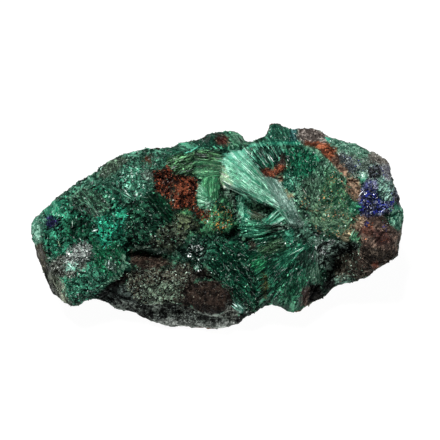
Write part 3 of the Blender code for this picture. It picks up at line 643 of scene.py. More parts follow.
# ---------------------------------------------------------------- fibres and grains


class Flow(NamedTuple):
    """An area whose fibres spread from a heart, and the splinters that stand on it."""

    name: str
    heart: tuple  # (u, v)
    reach: float  # typical distance from the heart, which sets how fine the fibres are
    run: float  # length of a streak, against the usual
    relief: float  # height of the fibres' ridges in the skin
    splinters: int
    length: tuple  # of a splinter, shortest and longest
    width: float
    lift: float  # how far a splinter's far end stands off
    stray: float  # spread of the splinters' directions, in degrees
    outline: tuple


FLOWS = (
    Flow("pale_blade", BLADE_HEART, 14, 1.6, 0.12, 5600, (2.2, 7.5), 0.24, 0.12, 2, (
        (1.2, 15.6), (2, 17.2), (4, 18.6), (6.6, 18.9), (8.6, 16.8), (9.8, 14.2), (10.6, 12.7),
        (12, 12.2), (13.4, 10), (14.4, 7.4), (15.4, 4), (14.6, 4.6), (11.6, 6), (10, 5.7),
        (8.6, 6.6), (7, 7.7), (5, 8.5), (3.2, 9.3), (2, 10), (1, 12), (0.2, 14.3),
    )),
    Flow("blade_end", (31, -19), 28, 1.6, 0.12, 1700, (1.8, 6), 0.22, 0.15, 4, (
        (10.8, 12.8), (12.4, 12.4), (15, 11), (17.6, 8), (20, 4.6), (21.4, 1.6), (20.4, -0.4),
        (17.4, 0.4), (15.6, 3), (14.2, 5), (12.8, 8),
    )),
    Flow("teal_hollow", FAN_HEART, 20, 1, 0.3, 1000, (1.4, 4.4), 0.26, 0.5, 6, (
        (6.8, 19), (8, 16.4), (9.8, 14.2), (11.2, 14.6), (12.6, 14), (13.6, 14.4), (14.6, 15.6),
        (15.4, 17.8), (17, 18), (20.4, 20.4), (14, 21), (9, 21),
    )),
    Flow("right_fan", FAN_HEART, 12, 0.3, 0.16, 3800, (0.5, 1.8), 0.26, 0.25, 36, (
        (15.6, 12), (16.8, 14), (16.8, 18.6), (20.5, 20.2), (24.6, 18.8), (27.4, 16.4), (30, 13.2),
        (31.4, 10.4), (35, 5), (33.4, -3.6), (27.6, -3), (26, 0.6), (23, 4.4), (21, 6.4),
    )),
    Flow("under_the_hollow", FAN_HEART, 13, 1, 0.22, 900, (1, 3.6), 0.28, 0.3, 8, (
        (5.4, 1.6), (9, 1.8), (11.4, 0.8), (15.6, 0), (16.6, -1), (16.4, -4.2), (8, -3.4),
        (5.4, -1),
    )),
    Flow("green_wall", (7.6, 12), 8, 1, 0.16, 160, (1, 2.8), 0.3, 0.2, 6, (
        (5.2, 7.9), (7, 7.3), (7.3, 5), (7.2, 3.6), (6, 2), (5.2, 3.4),
    )),
    Flow("pale_wall", (8.6, -1.8), 6, 1, 0.18, 320, (0.9, 2.8), 0.26, 0.25, 6, (
        (11, 1.8), (14.5, 4.7), (16.6, 4.6), (17.4, 2.4), (14.8, 0.6), (12.4, 0.4),
    )),
    Flow("brown_fibres", (-2, 9.2), 12, 1, 0.2, 140, (1, 3), 0.22, 0.25, 5, (
        (6.8, 4.8), (8, 4.6), (11.8, 2.4), (11, 1.6), (8.6, 2), (6.4, 3),
    )),
    Flow("lower_fan", LOWER_HEART, 15, 0.6, 0.24, 6600, (0.8, 3.4), 0.26, 0.4, 9, (
        (7.6, -4), (16, -3.4), (16.8, -5), (19, -5.2), (24, -5.8), (24.6, -9), (25, -13.6),
        (22.4, -15.4), (20.9, -19), (19.4, -22), (13.6, -21), (10.2, -19), (9.4, -12), (7.6, -8),
    )),
    Flow("fibre_band", (20, 13.6), 24, 1.5, 0.4, 1900, (1.6, 6), 0.25, 0.3, 3, (
        (-5.8, 12.3), (-5.8, 18.2), (-2, 18.9), (2, 18), (2.4, 15.2), (0.8, 12),
    )),
    Flow("band_left", (14, 25), 24, 1, 0.24, 1200, (0.8, 3), 0.28, 0.3, 12, (
        (-12, 13.8), (-12, 17), (-8, 18.8), (-5.4, 18.6), (-5.6, 12.6), (-9, 12.8),
    )),
    Flow("ridge_top", (20, 4), 26, 1, 0.2, 1500, (0.7, 2.2), 0.2, 0.25, 18, (
        (-12, 17.4), (-12.6, 20.4), (-7.5, 21.6), (-1.5, 23.6), (2, 24.6), (6.4, 23.6), (7, 19.6),
        (-3, 19.2), (-8, 18.8),
    )),
    Flow("ridge_streaks", (-42, 26), 24, 1, 0.2, 700, (0.8, 2.6), 0.2, 0.25, 8, (
        (-30.5, 9.6), (-27, 12.4), (-24.4, 12), (-22.6, 8.6), (-24, 5.6), (-28, 5.6),
    )),
    Flow("lump_streaks", (-45, 24), 24, 1.2, 0.24, 1500, (1, 3.6), 0.2, 0.25, 5, (
        (-35.6, 6.8), (-32.6, 9.4), (-28.6, 8.2), (-25.6, 5.2), (-26.4, 2.8), (-29.4, 2.4),
        (-33, 3.6), (-35.4, 5),
    )),
    Flow("small_mint_fan", (-0.4, 5.6), 3.4, 1, 0.12, 700, (0.8, 2.8), 0.18, 0.2, 6, (
        (-5.1, 7), (-4.2, 9.8), (-3, 10.2), (-1.6, 8.6), (-1, 6.8), (-2.5, 4.3), (-4.2, 4.8),
    )),
    Flow("upright_fibres", (-1.2, -8), 17, 1, 0.16, 700, (1, 3.4), 0.22, 0.25, 4, (
        (-3.5, 10.2), (-3, 12), (0.7, 12.2), (0.6, 9.4), (0, 7), (-1.2, 6.8),
    )),
    Flow("green_slope", (-9, 3), 17, 1, 0.16, 4600, (0.7, 2.8), 0.24, 0.3, 14, GREEN_SLOPE),
    Flow("dark_hollow", (-33, 25), 28, 1, 0.24, 800, (0.9, 3.2), 0.22, 0.35, 8, (
        (-17.6, 8.8), (-14, 8), (-12, 6.2), (-10.6, 3.6), (-9.8, 0.6), (-12, 0.8), (-14.4, 3.4),
        (-17.6, 6.8),
    )),
    Flow("silky_emerald", (-36, 1), 11, 1, 0.16, 1800, (0.9, 3), 0.24, 0.25, 12, (
        (-30.6, -3.6), (-27.6, -5), (-24, -3.5), (-22, -6), (-22.4, -10.6), (-25.6, -13),
        (-28, -12), (-30, -9.4),
    )),
    Flow("left_tip_blades", (-39, -3), 7, 1, 0.2, 200, (1, 3), 0.36, 0.3, 9, (
        (-42.6, 3.4), (-41, 6.4), (-39.6, 7), (-37.6, 5.4), (-37.4, 2.8), (-41, 2.8),
    )),
    Flow("left_break_stripes", (-47.5, 12), 24, 1, 0.18, 1200, (1, 3.6), 0.26, 0.12, 5, (
        (-44.4, -4.8), (-42.8, -4), (-41.4, -7.4), (-40.6, -9.8), (-37.6, -13), (-34.6, -18),
        (-34.6, -20.4), (-38, -20.6), (-42, -16), (-44, -9),
    )),
    Flow("top_knob", (22, 12), 13, 1, 0.2, 900, (0.8, 2.6), 0.22, 0.35, 12, (
        (11, 20.8), (12, 23.4), (13.2, 26), (15.8, 25.4), (19.4, 24.4), (19.6, 21), (14, 20.6),
    )),
)

SMOOTH_SHEAVES = ("pale_blade", "small_mint_fan", "upright_fibres", "fibre_band", "teal_hollow")
FLOW_OVERHANG = 0.4  # how far splinters reach over their flow's edge
FLOW_FACING = 0.08  # least share of a vertex's normal along w where splinters stand
SPRAY_FACING = 0.5  # and where sprays stand
GRAIN_FACING = 0.4  # and where grains and crystals lie
HEART_CLEARANCE = 1.5  # from a flow's heart, where splinters would pile up


class Sprays(NamedTuple):
    """Many small bunches of splinters over an area."""

    name: str
    count: int  # of bunches
    blades: int  # in each bunch
    heading: float  # the bunches' usual direction, in degrees from u
    turn: float  # how far the bunches' directions vary
    spread: float  # of the blades in a bunch
    length: tuple
    width: float
    lift: float  # of a tip, against the length
    brightness: float  # against the skin's lightest colour
    outline: tuple


SPRAYS = (
    Sprays("left_lump", 1250, 7, 60, 60, 26, (0.5, 1.7), 0.22, 0.2, 1, (
        (-43, 2), (-40, 7), (-36.4, 7), (-34, 4), (-29.4, 2.6), (-26, 3.2), (-22, 6), (-21.5, 0),
        (-21.5, -8), (-25, -13), (-31, -17.5), (-35, -19.5), (-38, -13), (-42, -4),
    )),
    Sprays("left_ridge", 860, 7, 30, 60, 24, (0.5, 1.7), 0.22, 0.18, 1, (
        (-40, 6.5), (-35, 11), (-30, 13.5), (-26, 16.8), (-22, 18.6), (-15, 20), (-9, 20.6),
        (-12, 16), (-16, 13), (-15, 9), (-22, 6), (-30, 8), (-36, 7),
    )),
    Sprays("turquoise", 60, 6, 50, 50, 34, (0.9, 2.2), 0.36, 0.3, 1.1, (
        (-28.6, 2.6), (-26.5, 2.6), (-24.6, 3.6), (-23, 5), (-22.2, 2.6), (-22.6, -1), (-26, -3),
        (-27.4, -5), (-28.8, -3.4),
    )),
    Sprays("ridge_sparkle", 80, 6, -36, 24, 14, (0.8, 2.6), 0.24, 0.3, 1.2, (
        (-24.6, 10.6), (-23, 13), (-21.6, 15), (-19, 14.2), (-18.6, 11.6), (-16.8, 8), (-19, 6.8),
        (-22.6, 8.2),
    )),
    Sprays("centre", 560, 6, -70, 50, 22, (0.5, 1.8), 0.19, 0.2, 1.1, (
        (-24, 5), (-17, 6.4), (-12, 0.4), (-10, 3.6), (-4, 4), (2, 9), (5.4, 8), (5.2, -2), (7, -7),
        (1, -8.4), (-9, -8.6), (-13, -5), (-21, -4.4), (-22.4, 0),
    )),
    Sprays("fan_heart", 300, 6, 60, 70, 24, (0.4, 1.4), 0.2, 0.22, 1.1, (
        (16.6, -2.4), (18, 0.4), (20, 3.8), (24, 4.6), (26.6, 2), (26.4, -3), (24, -5.6),
        (18.4, -5),
    )),
    Sprays("right_fan", 760, 5, 64, 40, 16, (0.5, 1.8), 0.26, 0.2, 1.05, (
        (16.8, 12.4), (17, 18.4), (20.5, 20), (24.6, 18.6), (27.2, 16.2), (30, 13.2), (31.4, 10.4),
        (34.6, 5), (33.4, -3), (25, -3), (22, 2), (20, 7),
    )),
    Sprays("hollow_wall", 90, 6, -60, 40, 24, (0.5, 1.6), 0.24, 0.25, 1, (
        (4.8, 8.2), (7.2, 7.6), (7.6, 4), (6.6, 1.6), (4.8, 1.4), (4.6, 4),
    )),
    Sprays("fan_foot", 180, 6, 40, 70, 26, (0.5, 1.5), 0.2, 0.3, 1.2, (
        (22.5, -3), (30, -2.8), (34.6, -4.2), (32, -6), (28.6, -7), (28, -10), (25, -9), (23.6, -6),
    )),
    Sprays("right_foot", 240, 6, 0, 60, 26, (0.5, 1.6), 0.2, 0.25, 1, (
        (28.6, -8), (33, -6), (36.5, -10), (38.4, -12.4), (33, -14.4), (28.6, -13.6),
    )),
    Sprays("right_top", 520, 6, 70, 50, 24, (0.4, 1.3), 0.2, 0.2, 1, (
        (25, 22.6), (33.5, 21), (42.4, 17), (44.4, 9), (42, 6.6), (40, 11), (36, 11.8), (32, 12),
        (28.4, 17.4),
    )),
    Sprays("green_sprays", 26, 8, 48, 26, 20, (1.2, 2.6), 0.22, 0.25, 1.5, (
        (39.4, 7), (39.4, 9.6), (41, 11.6), (43, 10), (43, 7.6), (41, 6.6),
    )),
    Sprays("shelf", 220, 6, 10, 60, 24, (0.4, 1.2), 0.18, 0.2, 1, (
        (-22, -10), (-14, -9.8), (-7, -8.6), (-5.4, -11), (-7.6, -13.4), (-8, -17.8), (-12, -19),
        (-19, -18.6), (-22, -15),
    )),
)


class Needle(NamedTuple):
    """One blade that stands out by itself."""

    foot: tuple  # (u, v)
    tip: tuple
    width: float
    colour: tuple  # out of 255
    lift: float = 0.4  # of its tip


NEEDLES = (
    Needle((13.9, 15.6), (12.5, 17.7), 0.2, (246, 255, 250), 1.3),
    Needle((13.0, 15.9), (12.1, 17.9), 0.17, (226, 250, 238), 1.3),
    Needle((14.9, 18.2), (14.3, 20.0), 0.28, (226, 246, 236), 1.3),
    Needle((14.1, 17.7), (12.9, 19.9), 0.2, (196, 242, 220), 1.3),
    Needle((13.2, 17.9), (12.0, 20.0), 0.2, (150, 232, 200), 1.3),
    Needle((12.0, 16.6), (10.8, 19.4), 0.18, (110, 200, 166), 1.0),
    Needle((10.9, 15.8), (9.9, 17.6), 0.18, (150, 220, 190), 1.0),
    Needle((9.8, 17.2), (8.6, 19.2), 0.28, (128, 222, 184), 0.8),
    Needle((10.6, 18.0), (9.4, 19.7), 0.28, (116, 212, 172), 0.8),
    Needle((8.8, 16.9), (8.2, 18.2), 0.30, (200, 250, 226)),
    Needle((11.6, 18.4), (10.8, 19.8), 0.26, (140, 214, 184), 1.0),
    Needle((-7.5, 17.8), (-5.3, 19.0), 0.50, (84, 192, 160)),
    Needle((-6.3, 18.5), (-4.4, 19.6), 0.40, (66, 172, 140)),
    Needle((-8.0, 17.7), (-6.6, 18.4), 0.36, (116, 216, 186)),
    Needle((3.6, -18.4), (6.0, -20.2), 0.40, (226, 255, 246)),
    Needle((4.3, -18.2), (6.4, -19.9), 0.34, (190, 240, 224)),
    Needle((3.3, -18.9), (5.2, -20.4), 0.34, (160, 220, 200)),
    Needle((12.8, -2.7), (8.8, -3.0), 0.30, (120, 212, 170)),
    Needle((11.6, -1.2), (7.2, -0.4), 0.30, (110, 200, 164)),
    Needle((21.4, -4.8), (18.2, -6.4), 0.26, (204, 232, 218)),
    Needle((19.8, -5.6), (17.4, -6.9), 0.22, (170, 214, 194)),
    Needle((18.9, -2.6), (20.4, -1.7), 0.24, (150, 204, 184)),
    # painted glint: a bright pale shard standing for a highlight
    Needle((-30.6, -1.2), (-28.8, -0.6), 0.42, (214, 244, 234)),
    Needle((-38.5, 4.6), (-39.7, 6.8), 0.26, (196, 226, 210)),
    Needle((-38.9, -2.8), (-37.9, -4.9), 0.2, (170, 200, 160)),
    Needle((-35.1, 2.0), (-35.1, -0.1), 0.26, (180, 206, 190)),
    Needle((-25.8, 6.3), (-24.8, 7.1), 0.36, (206, 232, 216)),
    Needle((-22.9, 8.9), (-20.9, 7.3), 0.36, (206, 236, 222)),
    Needle((-23.4, 8.2), (-20.4, 6.6), 0.26, (140, 214, 184)),
    Needle((-26.4, -9.9), (-26.1, -7.9), 0.4, (196, 214, 210)),
    Needle((34.3, 7.4), (35.7, 9.0), 0.4, (216, 220, 220), 0.9),
    Needle((21.8, 7.6), (20.6, 9.6), 0.24, (176, 184, 168), 0.9),
    Needle((30.2, -11.3), (32.2, -11.6), 0.3, (150, 170, 158), 0.9),
    Needle((14.5, 4.7), (12.3, 6.0), 0.36, (150, 230, 194)),
    Needle((10.4, 5.6), (8.2, 7.0), 0.4, (132, 226, 188)),
    Needle((8.4, 6.9), (5.2, 8.4), 0.4, (146, 230, 194)),
    Needle((5.6, 8.1), (2.9, 9.4), 0.34, (232, 250, 238)),
    Needle((14.3, 4.4), (11.4, 1.8), 0.36, (140, 212, 182)),
    Needle((15.2, 4.4), (12.2, 1.5), 0.32, (170, 224, 200)),
    Needle((16.0, 4.2), (13.2, 1.4), 0.3, (120, 190, 160)),
    Needle((11.2, 2.4), (7.4, 4.6), 0.26, (124, 126, 104)),
    Needle((10.6, 2.2), (7.2, 3.6), 0.22, (84, 96, 78)),
    Needle((-20.6, 14.9), (-18.6, 13.6), 0.3, (200, 232, 216)),
    Needle((-40.9, 3.0), (-40.3, 6.2), 0.7, (96, 190, 154)),
    Needle((-41.8, 3.2), (-41.3, 5.0), 0.5, (120, 204, 170)),
    Needle((-39.2, 2.6), (-39.0, 5.4), 0.8, (30, 132, 98)),
    Needle((-40.3, 6.3), (-39.1, 4.9), 0.22, (220, 240, 226)),
    Needle((39.7, 7.4), (41.4, 9.8), 0.24, (168, 214, 190)),
    Needle((40.2, 7.2), (42.0, 9.2), 0.24, (150, 200, 176)),
    Needle((39.4, 8.4), (40.8, 10.8), 0.24, (160, 206, 184)),
    Needle((40.6, 6.8), (42.6, 8.2), 0.24, (180, 216, 200)),
    Needle((30.6, -1.0), (32.4, 1.8), 0.26, (84, 140, 100), 0.6),
    Needle((33.0, -3.4), (34.4, -0.9), 0.34, (62, 122, 90), 0.9),
    Needle((33.8, -3.7), (35.0, -2.0), 0.34, (88, 148, 110), 0.9),
    Needle((32.5, -3.4), (33.9, -0.7), 0.26, (114, 176, 138), 0.9),
    Needle((40.0, 7.0), (41.8, 9.4), 0.2, (20, 26, 64)),
    Needle((39.2, 7.9), (40.9, 10.3), 0.2, (26, 44, 62)),
    Needle((31.0, -3.2), (32.4, -0.6), 0.36, (206, 152, 104), 0.9),
    Needle((30.4, -2.8), (31.8, -0.4), 0.3, (190, 150, 110), 0.9),
    Needle((32.0, -3.2), (33.5, -0.2), 0.34, (156, 208, 176), 0.9),
    Needle((33.2, 5.0), (35.2, 4.8), 0.9, (60, 150, 110)),
)


class Grains(NamedTuple):
    """Broken grains strewn over an area, in the skin's own colours or in their own."""

    name: str
    count: int
    size: tuple  # smallest and largest, across
    stretch: float  # length over width
    brightness: tuple  # against their own colours, or against the skin's lightest
    colours: tuple  # out of 255, or empty
    outline: tuple


WHOLE_FACE = (
    (-46, -1), (-40, 8), (-25, 18), (-7, 22), (6, 24), (18, 26), (30, 23), (43, 18), (46, 0),
    (44, -9), (30, -15), (18, -22), (4, -26), (-20, -23), (-36, -22), (-43, -12),
)

BLUE_SPOT = (22, (0.25, 0.5), 1.4, (0.9, 1), ((48, 58, 150), (36, 42, 116)))

GRAINS = (
    Grains("face_grains", 3600, (0.2, 0.8), 1.4, (0.6, 1.4), (), WHOLE_FACE),
    Grains("face_specks", 27000, (0.16, 0.5), 1.4, (0.4, 2), (), WHOLE_FACE),
    Grains("left_lump_grains", 2000, (0.2, 1.1), 1.8, (0.6, 1.5), (), (
        (-43, 2), (-40, 7), (-30, 13), (-22, 18), (-15, 18), (-17, 8), (-22, 0), (-22, -8),
        (-27, -14), (-34.8, -20), (-38, -13), (-42, -5),
    )),
    Grains("silver_druse_specks", 900, (0.24, 0.56), 1.3, (0.6, 1.15),
           ((246, 252, 248), (214, 228, 220), (156, 178, 166), (70, 98, 84), (28, 36, 32)), (
        (-36.8, -6.4), (-34.5, -4.9), (-32, -3.8), (-30.4, -5.3), (-30.8, -7.2), (-32.5, -8.9),
        (-35.5, -9.7), (-38.5, -8.4),
    )),
    Grains("dull_druse_specks", 420, (0.22, 0.5), 1.3, (0.5, 1.1),
           ((222, 230, 222), (150, 162, 148), (84, 100, 86), (40, 38, 32), (14, 14, 12)), (
        (-41, -9.4), (-38.6, -7.2), (-36.6, -6.4), (-38, -8.6), (-34, -9.8), (-31.6, -9),
        (-31.6, -11), (-36, -12.6), (-40, -12),
    )),
    Grains("mint_in_the_druse", 60, (0.3, 0.8), 1.4, (0.8, 1),
           ((222, 255, 244), (160, 222, 200), (110, 190, 162)), (
        (-36.9, -9.2), (-34.6, -8.8), (-34.2, -10.2), (-36.4, -10.8),
    )),
    Grains("streak_specks", 170, (0.2, 0.5), 1.5, (0.7, 1.1),
           ((116, 192, 166), (96, 66, 54), (66, 142, 116), (184, 206, 196), (40, 30, 26)),
           LUMP_STREAKS),
    Grains("turquoise_grains", 230, (0.4, 1.5), 1.6, (0.5, 1.05),
           ((42, 178, 140), (26, 144, 110), (84, 210, 174), (4, 16, 12), (8, 34, 26), (14, 74, 56)), (
        (-28.8, 2.6), (-26.5, 2.6), (-24.6, 3.6), (-23, 5), (-22.2, 2.6), (-22.6, -1), (-26, -3),
        (-27.4, -5), (-28.8, -3.4),
    )),
    Grains("ridge_sparkle_grains", 300, (0.25, 0.8), 1.8, (0.6, 1.1),
           ((160, 226, 200), (96, 184, 152), (50, 130, 104), (214, 240, 228), (14, 50, 38)), (
        (-24.6, 10.6), (-23, 13.2), (-21.6, 15), (-18.6, 14.4), (-18.6, 11.6), (-16.8, 8),
        (-19, 6.8), (-22.6, 8),
    )),
    Grains("rust_pit_grains", 2400, (0.22, 0.62), 1.2, (0.6, 1.1),
           ((138, 66, 42), (96, 50, 38), (156, 82, 54), (50, 28, 21), (18, 11, 9),
            (10, 11, 9), (14, 9, 8)), (
        (-15.6, 13.6), (-12, 15), (-9, 12.8), (-4.8, 12), (-4.8, 5), (-1.4, 3.8), (-1.6, 2.2),
        (-3.4, 1.6), (-6, 4), (-11, 4), (-12.2, 6.8), (-14.6, 8.8),
    )),
    Grains("olive_grains", 260, (0.2, 0.7), 1.4, (0.5, 1.6), (), (
        (-11, 4.4), (-7, 4.4), (-4.6, 2), (-4, -1), (-9, -2), (-11.4, 0.6),
    )),
    # painted glints: pale specks in the rust pit stand for highlights
    Grains("pit_glints", 70, (0.2, 0.4), 1.2, (0.7, 1),
           ((196, 150, 132), (170, 104, 84), (120, 150, 128)), (
        (-15.6, 13.6), (-12, 15), (-9, 12.8), (-4.8, 12), (-4.8, 5), (-11, 4), (-14.6, 8.8),
    )),
    Grains("crescent_specks", 340, (0.2, 0.5), 1.2, (0.7, 1),
           ((146, 82, 56), (112, 58, 42), (60, 33, 25), (20, 13, 11), (24, 16, 13), (160, 98, 72)), (
        (10, 13.4), (10.6, 13.9), (12.2, 14.3), (13, 13.7), (14.4, 14.9), (15.2, 15.3),
        (16.6, 14.9), (16.5, 14.2), (14.6, 12.6), (12, 12.2),
    )),
    Grains("peak_specks", 90, (0.2, 0.5), 1.2, (0.7, 1),
           ((84, 68, 62), (52, 42, 38), (116, 98, 88), (30, 24, 22)), (
        (14.3, 15.3), (14.9, 16.3), (15.5, 17.9), (16.1, 17), (16.6, 15.3),
    )),
    # painted glints: light green specks in the dark hollow stand for highlights
    Grains("dark_hollow_glints", 300, (0.18, 0.5), 1.4, (0.6, 1.1),
           ((120, 196, 160), (84, 150, 120), (176, 206, 184), (52, 116, 88)), (
        (-22, 5), (-16, 8), (-12, 6), (-9, 1), (-8, -4), (-14, -5.6), (-20, -4.4), (-22, 0),
    )),
    Grains("rust_specks", 150, (0.22, 0.42), 1.2, (0.8, 1),
           ((184, 122, 58), (156, 96, 46), (196, 150, 86)), (
        (-4, 0.4), (-3, 4), (0, 6.8), (3, 4.4), (4.2, 1), (1, -1.4),
    )),
    Grains("orange_specks", 60, (0.24, 0.44), 1.2, (0.9, 1),
           ((206, 138, 62), (176, 108, 50), (214, 168, 100)), (
        (-0.8, -0.6), (-0.2, 1.6), (1.6, 1.2), (3.2, 3), (3.4, 2.2), (1.6, -0.6),
    )),
    Grains("shelf_specks", 4200, (0.16, 0.5), 1.3, (0.3, 1.1),
           ((150, 172, 150), (96, 112, 94), (116, 104, 88), (52, 44, 37), (18, 15, 12),
            (26, 34, 28), (186, 208, 190)), (
        (-22, -11), (-14, -9.8), (-7, -8.6), (-5.4, -11), (-7.6, -13.4), (-8, -17.8), (-12, -19),
        (-19, -18.6), (-22, -15),
    )),
    Grains("brown_shelf_specks", 1300, (0.16, 0.44), 1.3, (0.5, 1.1),
           ((92, 84, 72), (60, 48, 42), (30, 24, 20), (124, 122, 104), (14, 11, 9)), (
        (-21, -6.4), (-12, -7.2), (-6, -8.6), (-5.4, -11), (-12, -10.6), (-21, -11),
    )),
    Grains("dome_specks", 1500, (0.16, 0.5), 1.3, (0.4, 1.1),
           ((62, 51, 44), (42, 34, 30), (22, 17, 15), (86, 74, 66), (110, 108, 96)), (
        (-10, -13), (-5, -11.8), (0.4, -12.4), (4, -15), (4.6, -18.6), (3.4, -21.4), (-1, -22),
        (-6, -21.2), (-10, -19.6), (-11, -16),
    )),
    # painted glints: bright mint specks on the slope stand for highlights
    Grains("slope_glints", 420, (0.18, 0.5), 1.6, (0.6, 1.1),
           ((120, 204, 166), (190, 224, 200), (84, 164, 128), (60, 132, 100), (2, 10, 8)),
           GREEN_SLOPE),
    Grains("lip_specks", 3000, (0.16, 0.46), 1.3, (0.5, 1.3), (), (
        (-28, -17), (-19.4, -18.8), (-8, -19.2), (3, -22), (6, -22.5), (5, -25), (-1.5, -26),
        (-12, -25.4), (-20.5, -22), (-28, -19.6),
    )),
    # painted glints: near-white grains on the ledge stand for highlights
    Grains("ledge_glints", 90, (0.3, 0.8), 1.4, (0.9, 1.1),
           ((246, 252, 250), (200, 220, 212), (130, 160, 148)), (
        (-7.4, -5.4), (-5.4, -4.2), (-3.2, -4.8), (-2.6, -7), (-4.6, -8), (-5.6, -10.8), (-4, -11),
        (-3.6, -9), (-6.8, -7.6),
    )),
    # painted glints: the white grains stand for highlights, between black ones
    Grains("fan_foot_glints", 260, (0.24, 0.58), 1.4, (0.9, 1.3),
           ((255, 255, 255), (236, 244, 242), (120, 138, 130), (10, 13, 12), (8, 10, 10)), (
        (23.6, -5), (25, -4.4), (26.2, -4.8), (27.4, -2.8), (29, -2.8), (27.6, -4.2), (26.8, -5.6),
        (26.4, -7.2), (25, -6.8),
    )),
    Grains("tan_specks", 420, (0.2, 0.46), 1.6, (0.8, 1),
           ((182, 146, 108), (150, 120, 88), (196, 164, 126), (204, 140, 86)), (
        (24, -2), (30, -2.4), (33, -2), (33.4, 2), (31.6, 6), (31.4, 10.4), (28, 14), (26, 10),
        (24, 7), (21, 8), (20, 5), (23, 3),
    )),
    Grains("tan_band_specks", 340, (0.2, 0.46), 1.3, (0.6, 1.1),
           ((156, 122, 96), (104, 82, 66), (184, 154, 126), (66, 90, 72), (60, 48, 40),
            (180, 132, 102)), TAN_BAND),
    Grains("brown_lump_specks", 3400, (0.18, 0.46), 1.2, (0.6, 1.25), (), (
        (32.8, -0.6), (34.2, 3), (41.4, 2.6), (44.4, -1), (44.4, -7.4), (40, -9.6), (37.4, -12.2),
        (34.4, -9), (34.8, -4),
    )),
    Grains("rust_on_the_lump", 44, (0.2, 0.5), 1.3, (0.7, 1),
           ((176, 92, 56), (140, 72, 48), (196, 120, 76)), (
        (34.8, 0.6), (37, 1.4), (40, -0.6), (42, -1), (41.6, -4), (37, -3), (35, -5.4), (34.8, -2),
    )),
    Grains("right_specks", 3600, (0.18, 0.46), 1.3, (0.6, 1.4), (), (
        (25.4, 22.6), (33.5, 21), (42.4, 16.6), (44.6, 8), (42, 6), (39.4, 9), (36, 11.8), (32, 12),
        (28.4, 17.4),
    )),
    Grains("blue_specks", 240, (0.2, 0.46), 1.4, (0.8, 1),
           ((50, 58, 140), (34, 40, 104), (24, 26, 66)), (
        (29.4, 17), (31, 18), (36, 16), (41.8, 15), (43, 10), (45, 5), (42, 6), (40.6, 9),
        (36.6, 12.4), (33, 12.8),
    )),
    # the near-white colours among the azurite specks are painted glints
    Grains("azurite_specks", 1100, (0.2, 0.46), 1.4, (0.7, 1.15),
           ((30, 38, 124), (20, 26, 84), (6, 8, 18), (8, 10, 24), (104, 114, 144), (200, 206, 216),
            (36, 70, 62), (150, 160, 180)), (
        (34.5, 3), (34.7, 6), (34.8, 9), (36, 11.8), (38.6, 11.6), (39.4, 9.6), (38.8, 7),
        (39.8, 6.2), (43, 6.4), (42.6, 3.6), (39, 2.7),
    )),
    Grains("pale_azurite_specks", 240, (0.18, 0.5), 1.4, (0.7, 1.1),
           ((176, 178, 198), (110, 114, 150), (66, 70, 130), (188, 190, 202), (96, 116, 112)), (
        (35, 9), (36, 11.6), (38.7, 11.5), (39.4, 9.4), (38, 8.6),
    )),
    Grains("upper_blue_specks", *BLUE_SPOT, (
        (35.6, 1.9), (36.4, 1.8), (36.9, 0.6), (36.2, -0.2), (35.7, 0.8),
    )),
    Grains("side_blue_specks", *BLUE_SPOT, (
        (40, 1.6), (41.4, 0.6), (41, -1), (40.2, -0.4),
    )),
    Grains("nook_specks", 520, (0.18, 0.5), 1.3, (0.6, 1.2),
           ((96, 88, 74), (62, 56, 48), (112, 142, 122), (24, 22, 20), (156, 176, 160)), (
        (28.6, -6.8), (34, -5.8), (36, -9), (37.6, -12), (33, -13.6), (29, -13), (28.6, -9),
    )),
    Grains("left_azurite_grains", 130, (0.25, 0.6), 1.4, (0.8, 1),
           ((34, 28, 82), (22, 19, 52), (58, 50, 112), (10, 9, 22)), (
        (-41.8, 2.5), (-40.4, 2.7), (-38.4, 1.7), (-38.8, 0.2), (-40, -0.3), (-41.3, 0.2),
    )),
)

BACK_GRAINS = 5200
BACK_GRAIN_SIZE = (0.22, 0.6)
BACK_GRAIN_STRETCH = 1.2
BACK_FACING = 0.15  # most share of a vertex's normal along w where they lie
BACK_CLEARANCE = 1.0  # above the floor


class Crystals(NamedTuple):
    """Six-sided crystals in a nest."""

    name: str
    count: int
    height: tuple  # lowest and highest
    width: tuple  # narrowest and widest
    lean: float  # spread of their directions about the skin's normal
    colours: tuple  # out of 255
    outline: tuple


CRYSTALS = (
    Crystals("azurite_crystals", 150, (0.2, 0.8), (0.3, 0.8), 0.9,
             ((22, 30, 100), (16, 20, 62), (36, 46, 130), (8, 10, 20), (12, 16, 30), (90, 98, 118)), (
        (34.6, 3.2), (34.8, 6), (35, 8.8), (36, 9.6), (38, 9.4), (38.8, 8.4), (38.8, 7),
        (39.8, 6), (42.8, 6.2), (42.4, 3.8), (39, 2.9),
    )),
    Crystals("pocket_crystals", 60, (0.4, 1.3), (0.3, 0.8), 0.5,
             ((10, 11, 14), (18, 19, 24), (70, 76, 82)), (
        (36.8, 12.2), (37, 13.8), (38.4, 14.8), (39.6, 13.8), (39.6, 12.2), (38.4, 11.8),
    )),
)


# ---------------------------------------------------------------- tools


def smooth_step(value, low, high):
    share = np.clip((value - low) / (high - low), 0, 1)
    return share * share * (3 - 2 * share)


def inside_distance(points, outline):
    """How far each (u, v) point is inside an outline; outside it the distance is negative."""
    corners = np.array(outline, float)
    nearest = np.full(len(points), np.inf)
    inside = np.zeros(len(points), bool)
    for start, end in zip(corners, np.roll(corners, -1, axis=0)):
        edge = end - start
        along = np.clip((points - start) @ edge / (edge @ edge), 0, 1)
        nearest = np.minimum(nearest, np.linalg.norm(points - start - along[:, None] * edge, axis=1))
        crosses = (start[1] > points[:, 1]) != (end[1] > points[:, 1])
        rise = edge[1] if edge[1] else 1e-9
        inside ^= crosses & (points[:, 0] < start[0] + (points[:, 1] - start[1]) * edge[0] / rise)
    return np.where(inside, nearest, -nearest)


